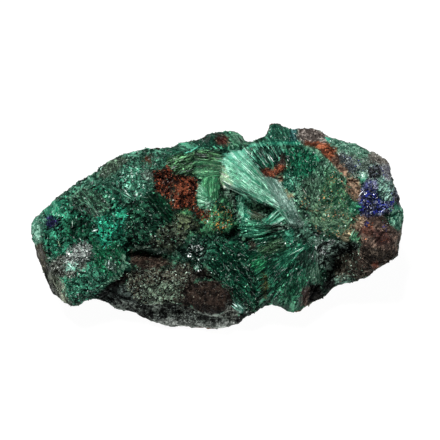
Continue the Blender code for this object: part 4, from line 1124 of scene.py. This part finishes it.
def breadth(outline):
    """About how broad an outline's inside is: twice its area over its length."""
    corners = np.array(outline, float)
    after = np.roll(corners, -1, axis=0)
    area = abs((corners[:, 0] * after[:, 1] - corners[:, 1] * after[:, 0]).sum()) / 2
    return 2 * area / np.linalg.norm(after - corners, axis=1).sum()


def lumps(points, size, shift=0.0):
    """Soft noise between about -1 and 1, with lumps of a size."""
    return np.array([noise.noise(place) for place in (points / size + shift).tolist()])


def stepped(value, steps):
    """A value rounded to steps, so many to each whole."""
    return np.round(steps * value) / steps


def headings(angle):
    """Unit (u, v) vectors at angles from u."""
    return np.stack([np.cos(angle), np.sin(angle)], axis=1)


def above_floor(points):
    """How high points of the face's coordinates are over what the rock rests on."""
    return points @ UP + REST_DEPTH


def points_of(mesh):
    points = np.empty(len(mesh.vertices) * 3, np.float32)
    mesh.vertices.foreach_get("co", points)
    return points.reshape(-1, 3).astype(float)


def set_points(mesh, points):
    mesh.vertices.foreach_set("co", points.astype(np.float32).ravel())
    mesh.update()


def normals_of(mesh):
    normals = np.empty(len(mesh.vertices) * 3, np.float32)
    mesh.vertex_normals.foreach_get("vector", normals)
    return normals.reshape(-1, 3).astype(float)


def add_object(name, data):
    thing = bpy.data.objects.new(name, data)
    bpy.context.scene.collection.objects.link(thing)
    return thing


def set_colours(mesh, name, colours):
    layer = mesh.color_attributes.new(name, "FLOAT_COLOR", "POINT")
    opaque = np.concatenate([colours, np.ones((len(colours), 1))], axis=1)
    layer.data.foreach_set("color", opaque.astype(np.float32).ravel())


def set_vectors(mesh, name, vectors):
    layer = mesh.attributes.new(name, "FLOAT_VECTOR", "POINT")
    layer.data.foreach_set("vector", vectors.astype(np.float32).ravel())


def evaluated_mesh(thing):
    """The object's mesh with its modifiers applied; the object itself is removed."""
    graph = bpy.context.evaluated_depsgraph_get()
    mesh = bpy.data.meshes.new_from_object(thing.evaluated_get(graph))
    bpy.data.objects.remove(thing)
    return mesh


# ---------------------------------------------------------------- the skin


class Nudge(NamedTuple):
    """A spot where the skin is drawn aside, so that its outline or its depth comes out right."""

    place: tuple  # (u, v)
    reach: float
    shift: tuple  # along u, v and w


NUDGES = (
    Nudge((-37, 9.8), 5, (0.5, -0.8, 0)),
    Nudge((-41.6, 4.8), 3, (0.3, -0.5, 0)),
    Nudge((-13, 20), 4, (0, -0.8, 0)),
    Nudge((-5, 21.8), 5, (0, -0.7, 0)),
    Nudge((7.4, 21.8), 1.8, (-0.5, -1.3, 0)),
    Nudge((11, 22), 2.4, (0, -1.1, 0)),
    Nudge((17, 25), 2.5, (0, -0.7, 0)),
    Nudge((27.4, 22.6), 3, (0, -0.6, 0)),
    Nudge((33, 20), 3.5, (0, 0.4, 0)),
    Nudge((41.4, 16.6), 3, (0.4, 0.4, 0)),
    Nudge((45.4, 6), 5, (-0.5, 0, 0)),
    Nudge((43.4, -7.6), 3, (0.4, -0.4, 0)),
    Nudge((37.4, -12), 3, (0.3, -0.5, 0)),
    Nudge((29, -15.6), 4, (-0.4, 1.1, 0)),
    Nudge((21.4, -20), 3, (0.3, -0.5, 0)),
    Nudge((12, -20.4), 5, (0, 1.1, 0)),
    Nudge((-6, -25), 6, (0, 0.7, 0)),
    Nudge((-18, -23), 6, (0.3, 0.8, 0)),
    Nudge((-29, -18.6), 5, (0, 0.8, 0)),
    Nudge((-37.6, -18.6), 4, (0.6, 0.7, 0)),
    Nudge((-44, -6), 7, (-0.9, -0.2, 0)),
    Nudge((9.8, 4), 4.6, (0, 0, 2.4)),
)


def nudged(points):
    for nudge in NUDGES:
        distance = np.linalg.norm(points[:, :2] - nudge.place, axis=1)
        points = points + smooth_step(-distance, -nudge.reach, 0)[:, None] * nudge.shift
    return points


def fine_mesh():
    """The solid's mesh in face coordinates, in small cells that are smaller still on the face."""
    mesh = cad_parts[NODE].data.copy()
    mesh.transform(face_to_row().inverted())
    set_points(mesh, nudged(as_seen(points_of(mesh))))
    thing = add_object("fine", mesh)
    remesh = thing.modifiers.new("cells", "REMESH")
    remesh.mode = "VOXEL"
    remesh.voxel_size = SKIN_CELL
    soften = thing.modifiers.new("soften", "SMOOTH")
    soften.factor = 0.5
    soften.iterations = SKIN_SMOOTHING
    mesh = evaluated_mesh(thing)
    shape = bmesh.new()
    shape.from_mesh(mesh)
    seen = [
        edge for edge in shape.edges if all(vert.normal.z > SEEN_FACING for vert in edge.verts)
    ]
    bmesh.ops.subdivide_edges(shape, edges=seen, cuts=1, use_grid_fill=True)
    bmesh.ops.triangulate(shape, faces=[face for face in shape.faces if len(face.verts) > 4])
    shape.to_mesh(mesh)
    shape.free()
    return mesh


def flow_grain(points, flow):
    """Where points lie across and along a flow's fibres, as a place in noise."""
    offset = points[:, :2] - flow.heart
    distance = np.maximum(np.hypot(offset[:, 0], offset[:, 1]), 0.1)
    around = offset / distance[:, None] * flow.reach
    return np.concatenate([around, distance[:, None]], axis=1)


def toward(colours, goal, share):
    """Moves colours toward one goal colour by each point's share."""
    colours += share[:, None] * (linear(goal) - colours)


def frontness(points, facing):
    """How far each point belongs to the face, from 0 to 1."""
    return smooth_step(points[:, 2], *PATCH_DEPTH) * smooth_step(facing, *PATCH_FACING)


def paint(points, facing):
    """Each point's darkest and lightest colour."""
    tint = lumps(points, 7.0) + 0.4 * lumps(points, 2.2, 9)
    dark, light = (np.tile(linear(colour), (len(points), 1)) for colour in PLAIN_ROCK)
    for colours, share in (
        (GREEN_CRUST, smooth_step(tint, 0.05, 0.25)),
        (RUST_STAIN, smooth_step(-tint, 0.25, 0.45)),
    ):
        toward(dark, colours[0], share)
        toward(light, colours[1], share)
    fray = PATCH_FRAY * (
        0.7 * lumps(points, 3.0, 3) + 0.5 * lumps(points, 1.2, 5) + 0.35 * lumps(points, 0.5, 8)
    )
    front = frontness(points, facing)
    for patch in PATCHES:
        frayed = fray * np.clip(breadth(patch.outline) / FULL_FRAY, 0.3, 1)
        reach = inside_distance(points[:, :2], patch.outline) + frayed
        share = smooth_step(reach, -PATCH_EDGE, PATCH_EDGE) * front
        toward(dark, patch.dark, share)
        toward(light, patch.light, share)
    return dark, light


def local_roughness(points, facing):
    """How rough the skin is at each point, against its usual roughness."""
    result = np.ones(len(points))
    front = frontness(points, facing)
    for patch in PATCHES:
        share = smooth_step(inside_distance(points[:, :2], patch.outline), *ROUGHNESS_EDGE)
        result += share * front * (patch.roughness - result)
    return result


def fibre_places(points, facing):
    """Each point's place across and along its fibres, and the height of their relief, or zero."""
    places = points * PLAIN_GRAIN
    relief = np.zeros(len(points))
    front = frontness(points, facing) > FIBRE_FRONT
    for flow in FLOWS:
        within = front & (inside_distance(points[:, :2], flow.outline) > 0)
        scale = (ACROSS_GRAIN, ACROSS_GRAIN, ALONG_GRAIN / flow.run)
        places[within] = flow_grain(points[within], flow) * scale
        relief[within] = flow.relief
    return places, relief


def cracks(points, places, relief):
    """How far each point is into a crack, from 0 to 1: along fibres, else in a net."""
    net = np.minimum(np.abs(lumps(points, 4.2, 21)), 1.4 * np.abs(lumps(points, 2.3, 22)))
    splits = np.minimum(np.abs(lumps(places, 7.0, 23)), 1.5 * np.abs(lumps(places, 3.2, 24)))
    return 1 - smooth_step(np.where(relief > 0, splits, net), 0.0, CRACK_WIDTH)


def shape_skin(mesh):
    """Roughens the skin, with fibres where there are flows and broken grain elsewhere."""
    points, normals = points_of(mesh), normals_of(mesh)
    facing = normals[:, 2]
    places, relief = fibre_places(points, facing)
    ridges = 0.5 - 1.6 * np.abs(lumps(places, 2.1))
    steps = stepped(lumps(places * (1, 1, 2), 7.0, 4), 2.5)
    terraces = stepped(lumps(points, 3.4, 26) + 0.4 * lumps(points, 1.1, 27), 3.0)
    coarse = 0.3 * lumps(points, 2.6) + 0.26 * lumps(points, 1.2, 7)
    fine = 0.16 * np.abs(lumps(points, 0.55, 2)) + 0.2 * np.abs(lumps(points, 0.9, 6))
    fibrous = relief * (ridges + 1.1 * steps) + 0.3 * coarse
    height = np.where(relief > 0, fibrous, coarse + fine + 0.35 * terraces - 0.1)
    rough = local_roughness(points, facing)
    cracked = cracks(points, places, relief) * smooth_step(rough, 0.4, 0.9)
    points += normals * (rough * height - CRACK_DEPTH * cracked)[:, None]
    set_points(mesh, points)
    return facing, places, relief, cracked


def clusters(points, places, relief, cracked):
    """How light each point is between its two colours: in streaks along fibres, else in clumps, with
    cracks made fully dark as painted shade.
    """
    broad = lumps(points, 3.2, 11)
    clumps = 0.75 * broad + 0.8 * lumps(points, 1.1, 12) + 0.7 * lumps(points, 0.5, 13)
    streaks = 0.15 * broad + 0.45 * lumps(places, 4.0, 14) + 1.0 * lumps(places, 1.5, 15)
    streaks *= np.clip(relief / EVEN_RELIEF, 0.3, 1)
    share = 0.4 + 0.75 * np.where(relief > 0, streaks, clumps)
    # painted shade: points in cracks are pulled to their darkest colour
    return np.clip(share * (1 - cracked), 0, 1)


def rest_on_floor(points):
    """Face coordinates with nothing lower than the surface that the rock rests on."""
    sunk = np.minimum(above_floor(points), 0)
    return points - sunk[:, None] * UP


def make_skin():
    mesh = fine_mesh()
    facing, places, relief, cracked = shape_skin(mesh)
    points = points_of(mesh)
    dark, light = paint(points, facing)
    share = clusters(points, places, relief, cracked)
    set_colours(mesh, "dark", dark)
    set_colours(mesh, "light", light)
    set_vectors(mesh, "grain", places)
    set_vectors(mesh, "share", np.repeat(share[:, None], 3, axis=1))
    return add_object("specimen_skin", mesh), facing, share


# ---------------------------------------------------------------- splinters, grains, crystals


class Face:
    """The skin as read from the front: its height at any (u, v), and how light its points are."""

    def __init__(self, skin, facing, share):
        self.points, self.normals = points_of(skin.data), normals_of(skin.data)
        self.facing, self.share = facing, share
        triangles = [tuple(polygon.vertices) for polygon in skin.data.polygons]
        tree = BVHTree.FromPolygons(self.points.tolist(), triangles)
        self.low, high = np.array(FACE_CORNERS)
        u_steps, v_steps = (int(count) + 1 for count in (high - self.low) / FACE_GRID)
        self.height = np.full((u_steps, v_steps), np.nan)
        down = Vector((0, 0, -1))
        for i in range(u_steps):
            for j in range(v_steps):
                place = self.low + (i * FACE_GRID, j * FACE_GRID)
                hit = tree.ray_cast(Vector((*place, FACE_ABOVE)), down)[0]
                if hit is not None:
                    self.height[i, j] = hit.z

    def heights(self, places):
        """The face's w under (u, v) places, or nan beside the rock."""
        at = (places - self.low) / FACE_GRID
        cell = np.clip(np.floor(at).astype(int), 0, np.array(self.height.shape) - 2)
        share = np.clip(at - cell, 0, 1)
        i, j = cell[:, 0], cell[:, 1]
        s, t = share[:, 0], share[:, 1]
        low = self.height[i, j] * (1 - s) + self.height[i + 1, j] * s
        high = self.height[i, j + 1] * (1 - s) + self.height[i + 1, j + 1] * s
        return low * (1 - t) + high * t

    def seen_in(self, outline, facing=GRAIN_FACING):
        """The vertices that look out of the face inside an outline."""
        inside = inside_distance(self.points[:, :2], outline) > 0
        top = self.points[:, 2] > self.heights(self.points[:, :2]) - SURFACE_DEPTH
        return np.flatnonzero(inside & (self.normals[:, 2] > facing) & top)

    def open_ground(self, outline):
        """The vertices inside an outline that aren't on one of the smooth sheaves."""
        chosen = self.seen_in(outline)
        for flow in FLOWS:
            if flow.name in SMOOTH_SHEAVES:
                beside = inside_distance(self.points[chosen, :2], flow.outline) < 0
                chosen = chosen[beside]
        return chosen

    def tones(self, chosen, share, rng, glinting=USUAL_GLINTS):
        """Colours for things that stand on the chosen vertices, taken from close by, some with a
        painted glint.
        """
        stray = rng.normal(0, PATCH_STRAY, (len(chosen), 3))
        dark, light = paint(self.points[chosen] + stray, self.facing[chosen])
        tones = dark + (light - dark) * np.clip(share, 0, TONE_LIMIT)[:, None]
        # painted glints: by chance a share of tones moves toward near-white, only where the rock is
        # light and greenish
        glint = (rng.random(len(chosen)) < GLINT_SHARE) * rng.uniform(0.2, 1, len(chosen)) * glinting
        red, green = light[:, 0], light[:, 1]
        glint *= smooth_step(green, *GLINT_LIGHT) * smooth_step(green / red, *GLINT_GREENNESS)
        return tones + glint[:, None] * (linear(GLINT) - tones)


def join(name, shapes, triangles, tones):
    """One mesh of many small shapes that all have the same triangles, each with its own tone."""
    count, corners = shapes.shape[:2]
    points = shapes.reshape(-1, 3)
    faces = (np.arange(count)[:, None, None] * corners + np.array(triangles)).reshape(-1, 3)
    mesh = bpy.data.meshes.new(name)
    mesh.from_pydata(points.tolist(), [], faces.tolist())
    set_colours(mesh, "tone", np.repeat(tones, corners, axis=0))
    return add_object(name, mesh)


def picked(colours, count, rng):
    """One of the colours by chance for each of a number of things."""
    return linear(colours)[rng.integers(len(colours), size=count)]


def contrasty(base, rng):
    """Shares of the lighter colour that are mostly near none or near all of it."""
    return rng.beta(0.35, 0.7, len(base)) * (0.3 + 1.5 * smooth_step(base, 0.1, 0.8))


# A splinter's corners are its foot, left, ridge, right and tip
SPLINTER_TRIANGLES = ((0, 2, 1), (0, 3, 2), (4, 1, 2), (4, 2, 3), (0, 1, 3), (4, 3, 1))
FOOT_SINK = 0.15  # how deep its foot is in the skin
EDGE_SINK = 0.12  # and its left and right
RIDGE_HEIGHT = 0.45  # against its width
RIDGE_LIFT = 0.4  # against the lift of its tip
STEEPEST = 0.6  # rise against its length, beyond which it is left out
NEEDLE_RIDGE = 0.3  # height against the width
NEEDLE_LIFTS = (0.2, 0.7, 0.6, 0.7, 1)  # of a needle's corners, against its lift


def splinter_shapes(face, near, far, ridge_share, width, lift):
    """Thin wedges from foot to tip: corners, and which of them lie well on the face."""
    length = np.linalg.norm(far - near, axis=1)[:, None]
    direction = (far - near) / length
    side = np.stack([-direction[:, 1], direction[:, 0]], axis=1)
    ridge = near + (far - near) * ridge_share[:, None]
    left, right = ridge - side * width[:, None] / 2, ridge + side * width[:, None] / 2
    rises = (-FOOT_SINK, -EDGE_SINK, width * RIDGE_HEIGHT + lift * RIDGE_LIFT, -EDGE_SINK, lift)
    corners = [
        np.concatenate([places, (face.heights(places) + rise)[:, None]], axis=1)
        for places, rise in zip((near, left, ridge, right, far), rises)
    ]
    shapes = np.stack(corners, axis=1)
    known = ~np.isnan(shapes).any(axis=(1, 2))
    spread = np.ptp(np.nan_to_num(shapes[:, :, 2]), axis=1)
    return shapes, known & (spread < STEEPEST * length[:, 0] + 0.3)


def add_fibres(flow, face, rng):
    """Splinters along a flow's fibres, their far ends standing off a little."""
    chosen = rng.choice(face.seen_in(flow.outline, FLOW_FACING), flow.splinters)
    middle = face.points[chosen, :2] + rng.uniform(-0.15, 0.15, (flow.splinters, 2))
    offset = middle - flow.heart
    angle = np.arctan2(offset[:, 1], offset[:, 0])
    angle += np.radians(rng.normal(0, flow.stray, flow.splinters))
    half = headings(angle) / 2 * rng.uniform(*flow.length, flow.splinters)[:, None]
    width = flow.width * rng.uniform(0.5, 1.4, flow.splinters)
    lift = flow.lift * rng.uniform(0, 1, flow.splinters) ** 2
    near, far = middle - half, middle + half
    ridge_share = rng.uniform(0.3, 0.75, flow.splinters)
    shapes, fits = splinter_shapes(face, near, far, ridge_share, width, lift)
    for ends in (near, far):
        fits &= inside_distance(ends, flow.outline) > -FLOW_OVERHANG
        fits &= np.linalg.norm(ends - flow.heart, axis=1) > HEART_CLEARANCE
    tones = face.tones(chosen, contrasty(face.share[chosen], rng), rng)
    return join(f"fibres_{flow.name}", shapes[fits], SPLINTER_TRIANGLES, tones[fits])


def add_sprays(sprays, face, rng):
    """Bunches of splinters, each bunch spreading from its own foot."""
    feet = rng.choice(face.seen_in(sprays.outline, SPRAY_FACING), sprays.count)
    chosen = np.repeat(feet, sprays.blades)
    total = len(chosen)
    foot = face.points[chosen, :2] + rng.normal(0, 0.12, (total, 2))
    heading = sprays.heading + rng.normal(0, sprays.turn, sprays.count)
    angle = np.radians(np.repeat(heading, sprays.blades) + rng.normal(0, sprays.spread, total))
    reach = np.repeat(rng.uniform(*sprays.length, sprays.count), sprays.blades)
    reach *= rng.uniform(0.5, 1.1, total)
    tip = foot + headings(angle) * reach[:, None]
    width = sprays.width * rng.uniform(0.5, 1.5, total)
    lift = sprays.lift * rng.uniform(0.1, 1, total) * reach
    shapes, fits = splinter_shapes(face, foot, tip, rng.uniform(0.3, 0.8, total), width, lift)
    bunch = np.repeat(rng.beta(0.45, 0.8, sprays.count), sprays.blades)
    share = sprays.brightness * (0.5 * contrasty(face.share[chosen], rng) + 0.75 * bunch)
    tones = face.tones(chosen, share, rng)
    return join(f"sprays_{sprays.name}", shapes[fits], SPLINTER_TRIANGLES, tones[fits])


def add_needles(face, rng):
    """The single blades that stand out by themselves."""
    ends = np.array([(needle.foot, needle.tip) for needle in NEEDLES], float)
    width = np.array([needle.width for needle in NEEDLES])
    lift = np.array([needle.lift for needle in NEEDLES])
    ridge_share = rng.uniform(0.4, 0.6, len(NEEDLES))
    shapes, fits = splinter_shapes(
        face, ends[:, 0], ends[:, 1], ridge_share, width, NEEDLE_RIDGE * width
    )
    shapes[:, :, 2] += lift[:, None] * NEEDLE_LIFTS
    tones = linear([needle.colour for needle in NEEDLES])
    return join("needles", shapes[fits], SPLINTER_TRIANGLES, tones[fits])


GRAIN_CORNERS = np.array(
    ((1, 0, 0), (-1, 0, 0), (0, 1, 0), (0, -1, 0), (0, 0, 1), (0, 0, -1)), float
)
GRAIN_TRIANGLES = (
    (0, 2, 4), (2, 1, 4), (1, 3, 4), (3, 0, 4), (2, 0, 5), (1, 2, 5), (3, 1, 5), (0, 3, 5),
)
SPECK_CORNERS = np.array(((1, 1, 1), (1, -1, -1), (-1, 1, -1), (-1, -1, 1)), float) * 0.75
SPECK_TRIANGLES = ((0, 1, 2), (0, 2, 3), (0, 3, 1), (1, 3, 2))
SPECK_SIZE = 0.6  # grains that are all finer than this have four corners, the others six


def random_turns(rng, count):
    """Random rotations as matrices."""
    w, x, y, z = rng.normal(size=(4, count))
    size = np.sqrt(w * w + x * x + y * y + z * z)
    w, x, y, z = w / size, x / size, y / size, z / size
    return np.stack([
        np.stack([1 - 2 * (y * y + z * z), 2 * (x * y - z * w), 2 * (x * z + y * w)], axis=1),
        np.stack([2 * (x * y + z * w), 1 - 2 * (x * x + z * z), 2 * (y * z - x * w)], axis=1),
        np.stack([2 * (x * z - y * w), 2 * (y * z + x * w), 1 - 2 * (x * x + y * y)], axis=1),
    ], axis=1)


def grain_shapes(rng, feet, size, stretch):
    """Broken grains, mostly small, each turned its own way around its foot; and their triangles."""
    count = len(feet)
    plain, triangles = GRAIN_CORNERS, GRAIN_TRIANGLES
    if size[1] < SPECK_SIZE:
        plain, triangles = SPECK_CORNERS, SPECK_TRIANGLES
    corners = plain * rng.uniform(0.5, 1.3, (count, len(plain), 1)) * (stretch, 1, 0.6)
    across = size[0] * (size[1] / size[0]) ** (rng.uniform(0, 1, (count, 1, 1)) ** 1.8)
    turned = np.einsum("nij,nkj->nki", random_turns(rng, count), corners * across / 2)
    return feet[:, None] + turned, triangles


def add_grains(grains, face, rng):
    chosen = rng.choice(face.open_ground(grains.outline), grains.count)
    shapes, triangles = grain_shapes(rng, face.points[chosen], grains.size, grains.stretch)
    share = rng.uniform(*grains.brightness, grains.count)
    if grains.colours:
        share *= 0.45 + 1.2 * face.share[chosen]
        tones = picked(grains.colours, grains.count, rng) * share[:, None]
    else:
        glinting = SPECK_GLINTS if grains.size[1] < SPECK_SIZE else GRAIN_GLINTS
        tones = face.tones(chosen, share * contrasty(face.share[chosen], rng), rng, glinting)
    return join(grains.name, shapes, triangles, tones)


def add_back_grains(face, rng):
    """Grains over the back and the ends, where no patch reaches."""
    hidden = (face.normals[:, 2] < BACK_FACING) & (above_floor(face.points) > BACK_CLEARANCE)
    chosen = rng.choice(np.flatnonzero(hidden), BACK_GRAINS)
    shapes, triangles = grain_shapes(
        rng, face.points[chosen], BACK_GRAIN_SIZE, BACK_GRAIN_STRETCH
    )
    tones = face.tones(chosen, contrasty(face.share[chosen], rng), rng)
    return join("back_grains", shapes, triangles, tones)


CRYSTAL_SIDES = 6
CRYSTAL_ROOT = 0.4  # how deep the foot ring is sunk
CRYSTAL_SHOULDER = 0.8  # height of the shoulder ring, against the whole
CRYSTAL_TAPER = 0.9  # its radius against the foot's
CRYSTAL_TIP = 0.3  # how far the tip is off the axis, against the radius


def crystal_triangles():
    """Sides and a low point on top of a six-sided crystal: foot ring, shoulder ring, tip."""
    triangles = []
    tip = 2 * CRYSTAL_SIDES
    for i in range(CRYSTAL_SIDES):
        j = (i + 1) % CRYSTAL_SIDES
        triangles += [(i, j, j + CRYSTAL_SIDES), (i, j + CRYSTAL_SIDES, i + CRYSTAL_SIDES)]
        triangles.append((i + CRYSTAL_SIDES, j + CRYSTAL_SIDES, tip))
    triangles += [(0, i + 1, i) for i in range(1, CRYSTAL_SIDES - 1)]
    return triangles


def add_crystals(nest, face, rng):
    chosen = rng.choice(face.seen_in(nest.outline), nest.count)
    feet, normals = face.points[chosen], face.normals[chosen]
    axis = normals + rng.normal(0, nest.lean, (nest.count, 3))
    axis /= np.linalg.norm(axis, axis=1)[:, None]
    across = np.cross(axis, rng.normal(size=(nest.count, 3)))
    across /= np.linalg.norm(across, axis=1)[:, None]
    over = np.cross(axis, across) * rng.uniform(0.4, 0.9, (nest.count, 1))
    height = rng.uniform(*nest.height, nest.count)[:, None]
    radius = rng.uniform(*nest.width, nest.count)[:, None] / 2
    angles = np.arange(CRYSTAL_SIDES) * 2 * math.pi / CRYSTAL_SIDES
    ring = across[:, None] * np.cos(angles)[:, None] + over[:, None] * np.sin(angles)[:, None]
    ring *= radius[:, None]
    foot = (feet - axis * CRYSTAL_ROOT)[:, None] + ring
    shoulder = (feet + axis * height * CRYSTAL_SHOULDER)[:, None] + ring * CRYSTAL_TAPER
    tip = (feet + axis * height + across * radius * CRYSTAL_TIP)[:, None]
    shapes = np.concatenate([foot, shoulder, tip], axis=1)
    return join(nest.name, shapes, crystal_triangles(), picked(nest.colours, nest.count, rng))


# ---------------------------------------------------------------- materials


SKIN_SPECKLE = 2200.0  # scale of the skin's finest mottling, in lumps to the metre
SKIN_SPECULAR = 0.03
BUMP_STRENGTH = 0.6
BUMP_HEIGHT = 0.25 * MM
CHIP_SPECKLE = 1500.0
SPECKLE_RANGE = (0.3, 0.7)  # between which nearly all of the mottling lies


def new_material(name):
    """A material, its node tree and its surface shader."""
    material = bpy.data.materials.new(name)
    material.use_nodes = True
    tree = material.node_tree
    return material, tree, tree.nodes["Principled BSDF"]


def feed(tree, socket, source):
    """Sets a socket to a number, or links another node's output to it."""
    if isinstance(source, (int, float)):
        socket.default_value = source
    else:
        tree.links.new(source, socket)


def attribute(tree, name):
    node = tree.nodes.new("ShaderNodeAttribute")
    node.attribute_name = name
    return node


def noise_node(tree, vector, scale, detail, roughness=0.6):
    node = tree.nodes.new("ShaderNodeTexNoise")
    for name, source in (
        ("Vector", vector), ("Scale", scale), ("Detail", detail), ("Roughness", roughness),
    ):
        feed(tree, node.inputs[name], source)
    return node.outputs["Fac"]


def map_range(tree, value, low, high, new_low=0.0, new_high=1.0):
    node = tree.nodes.new("ShaderNodeMapRange")
    node.interpolation_type = "SMOOTHSTEP"
    for name, source in (
        ("Value", value), ("From Min", low), ("From Max", high),
        ("To Min", new_low), ("To Max", new_high),
    ):
        feed(tree, node.inputs[name], source)
    return node.outputs["Result"]


def math_node(tree, operation, first, second):
    node = tree.nodes.new("ShaderNodeMath")
    node.operation = operation
    for socket, source in zip(node.inputs, (first, second)):
        feed(tree, socket, source)
    return node.outputs["Value"]


def mix_colours(tree, share, first, second):
    node = tree.nodes.new("ShaderNodeMix")
    node.data_type = "RGBA"
    for name, source in (("Factor", share), ("A", first), ("B", second)):
        feed(tree, node.inputs[name], source)
    return node.outputs["Result"]


def skin_material():
    """The rock: streaked or grained between each patch's darkest and lightest colour."""
    material, tree, surface = new_material("mineral skin")
    grain = attribute(tree, "grain").outputs["Vector"]
    place = tree.nodes.new("ShaderNodeTexCoord").outputs["Object"]
    streaks = noise_node(tree, grain, 1.0, 3.0)
    speckle = noise_node(tree, place, SKIN_SPECKLE, 3.0, 0.7)
    clump = math_node(tree, "MULTIPLY", attribute(tree, "share").outputs["Fac"], 0.5)
    detail = math_node(tree, "MULTIPLY", math_node(tree, "ADD", streaks, speckle), 0.5)
    total = math_node(tree, "ADD", clump, detail)
    dark, light = (attribute(tree, name).outputs["Color"] for name in ("dark", "light"))
    colour = mix_colours(tree, map_range(tree, total, 0.6, 0.98), dark, light)
    feed(tree, surface.inputs["Base Color"], colour)
    roughness = map_range(tree, speckle, *SPECKLE_RANGE, 0.75, 0.4)
    feed(tree, surface.inputs["Roughness"], roughness)
    bump = tree.nodes.new("ShaderNodeBump")
    bump.inputs["Strength"].default_value = BUMP_STRENGTH
    bump.inputs["Distance"].default_value = BUMP_HEIGHT
    feed(tree, bump.inputs["Height"], total)
    feed(tree, surface.inputs["Normal"], bump.outputs["Normal"])
    surface.inputs["Specular IOR Level"].default_value = SKIN_SPECULAR
    return material


def chip_material(name, roughness, specular, coat=0.0):
    """Splinters, grains and crystals: each its own tone, slightly mottled."""
    material, tree, surface = new_material(name)
    place = tree.nodes.new("ShaderNodeTexCoord").outputs["Object"]
    speckle = noise_node(tree, place, CHIP_SPECKLE, 2.0)
    mottled = tree.nodes.new("ShaderNodeVectorMath")
    mottled.operation = "SCALE"
    feed(tree, mottled.inputs[0], attribute(tree, "tone").outputs["Color"])
    feed(tree, mottled.inputs["Scale"], map_range(tree, speckle, *SPECKLE_RANGE, 0.7, 1.3))
    feed(tree, surface.inputs["Base Color"], mottled.outputs["Vector"])
    uneven = map_range(tree, speckle, *SPECKLE_RANGE, roughness + 0.12, roughness - 0.08)
    feed(tree, surface.inputs["Roughness"], uneven)
    surface.inputs["Specular IOR Level"].default_value = specular
    surface.inputs["Coat Weight"].default_value = coat
    return material


# ---------------------------------------------------------------- the stage


def add_floor():
    """A plain square that glows nearly white."""
    mesh = bpy.data.meshes.new("floor")
    corners = [(FLOOR_HALF * u, FLOOR_HALF * v, 0) for u, v in ((-1, -1), (1, -1), (1, 1), (-1, 1))]
    mesh.from_pydata(corners, [], [(0, 1, 2, 3)])
    floor = add_object("floor", mesh)
    material, _, surface = new_material("pale floor")
    surface.inputs["Base Color"].default_value = FLOOR_GREY
    surface.inputs["Roughness"].default_value = 0.9
    surface.inputs["Emission Color"].default_value = WHITE
    surface.inputs["Emission Strength"].default_value = FLOOR_GLOW
    mesh.materials.append(material)


def put(thing, place, turn):
    thing.location = place
    thing.rotation_mode = "QUATERNION"
    thing.rotation_quaternion = turn


def add_light(name, place, energy, size):
    """A square lamp that looks at the origin."""
    lamp = bpy.data.lights.new(name, "AREA")
    lamp.energy = energy
    lamp.size = size
    put(add_object(name, lamp), place, (-Vector(place)).to_track_quat("-Z", "Y"))


def light_stage():
    add_light("key", *KEY_LIGHT)
    add_light("fill", *FILL_LIGHT)
    world = bpy.data.worlds.new("studio")
    world.use_nodes = True
    background = world.node_tree.nodes["Background"]
    background.inputs["Color"].default_value = WHITE
    background.inputs["Strength"].default_value = WORLD_LIGHT
    bpy.context.scene.world = world
    bpy.context.scene.view_settings.view_transform = "Standard"


def add_camera():
    """A long lens at right angles to the face plane."""
    lens = bpy.data.cameras.new("camera")
    lens.lens = LENS
    lens.sensor_width = SENSOR
    lens.clip_end = VIEW_END
    to_row = face_to_row()
    place = to_row @ Vector((*VIEW_CENTRE, camera_distance()))
    camera = add_object("camera", lens)
    put(camera, place, to_row.to_3x3().normalized().to_quaternion())
    bpy.context.scene.camera = camera


# ---------------------------------------------------------------- putting it together


def finish_piece(piece, material):
    set_points(piece.data, rest_on_floor(as_built(points_of(piece.data))))
    piece.data.transform(face_to_row())
    piece.data.materials.clear()
    piece.data.materials.append(material)
    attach(piece, "root")


def main():
    rng = np.random.default_rng(SEED)
    skin, facing, share = make_skin()
    face = Face(skin, facing, share)
    fibres = chip_material("malachite fibres", roughness=0.3, specular=0.14)
    chips = chip_material("broken grains", roughness=0.35, specular=0.12)
    crystal = chip_material("azurite crystals", roughness=0.2, specular=0.6, coat=0.3)
    for flow in FLOWS:
        finish_piece(add_fibres(flow, face, rng), fibres)
    for sprays in SPRAYS:
        finish_piece(add_sprays(sprays, face, rng), fibres)
    finish_piece(add_needles(face, rng), fibres)
    for grains in GRAINS:
        finish_piece(add_grains(grains, face, rng), chips)
    finish_piece(add_back_grains(face, rng), chips)
    for nest in CRYSTALS:
        finish_piece(add_crystals(nest, face, rng), crystal)
    finish_piece(skin, skin_material())
    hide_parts(NODE)
    add_floor()
    light_stage()
    add_camera()


main()
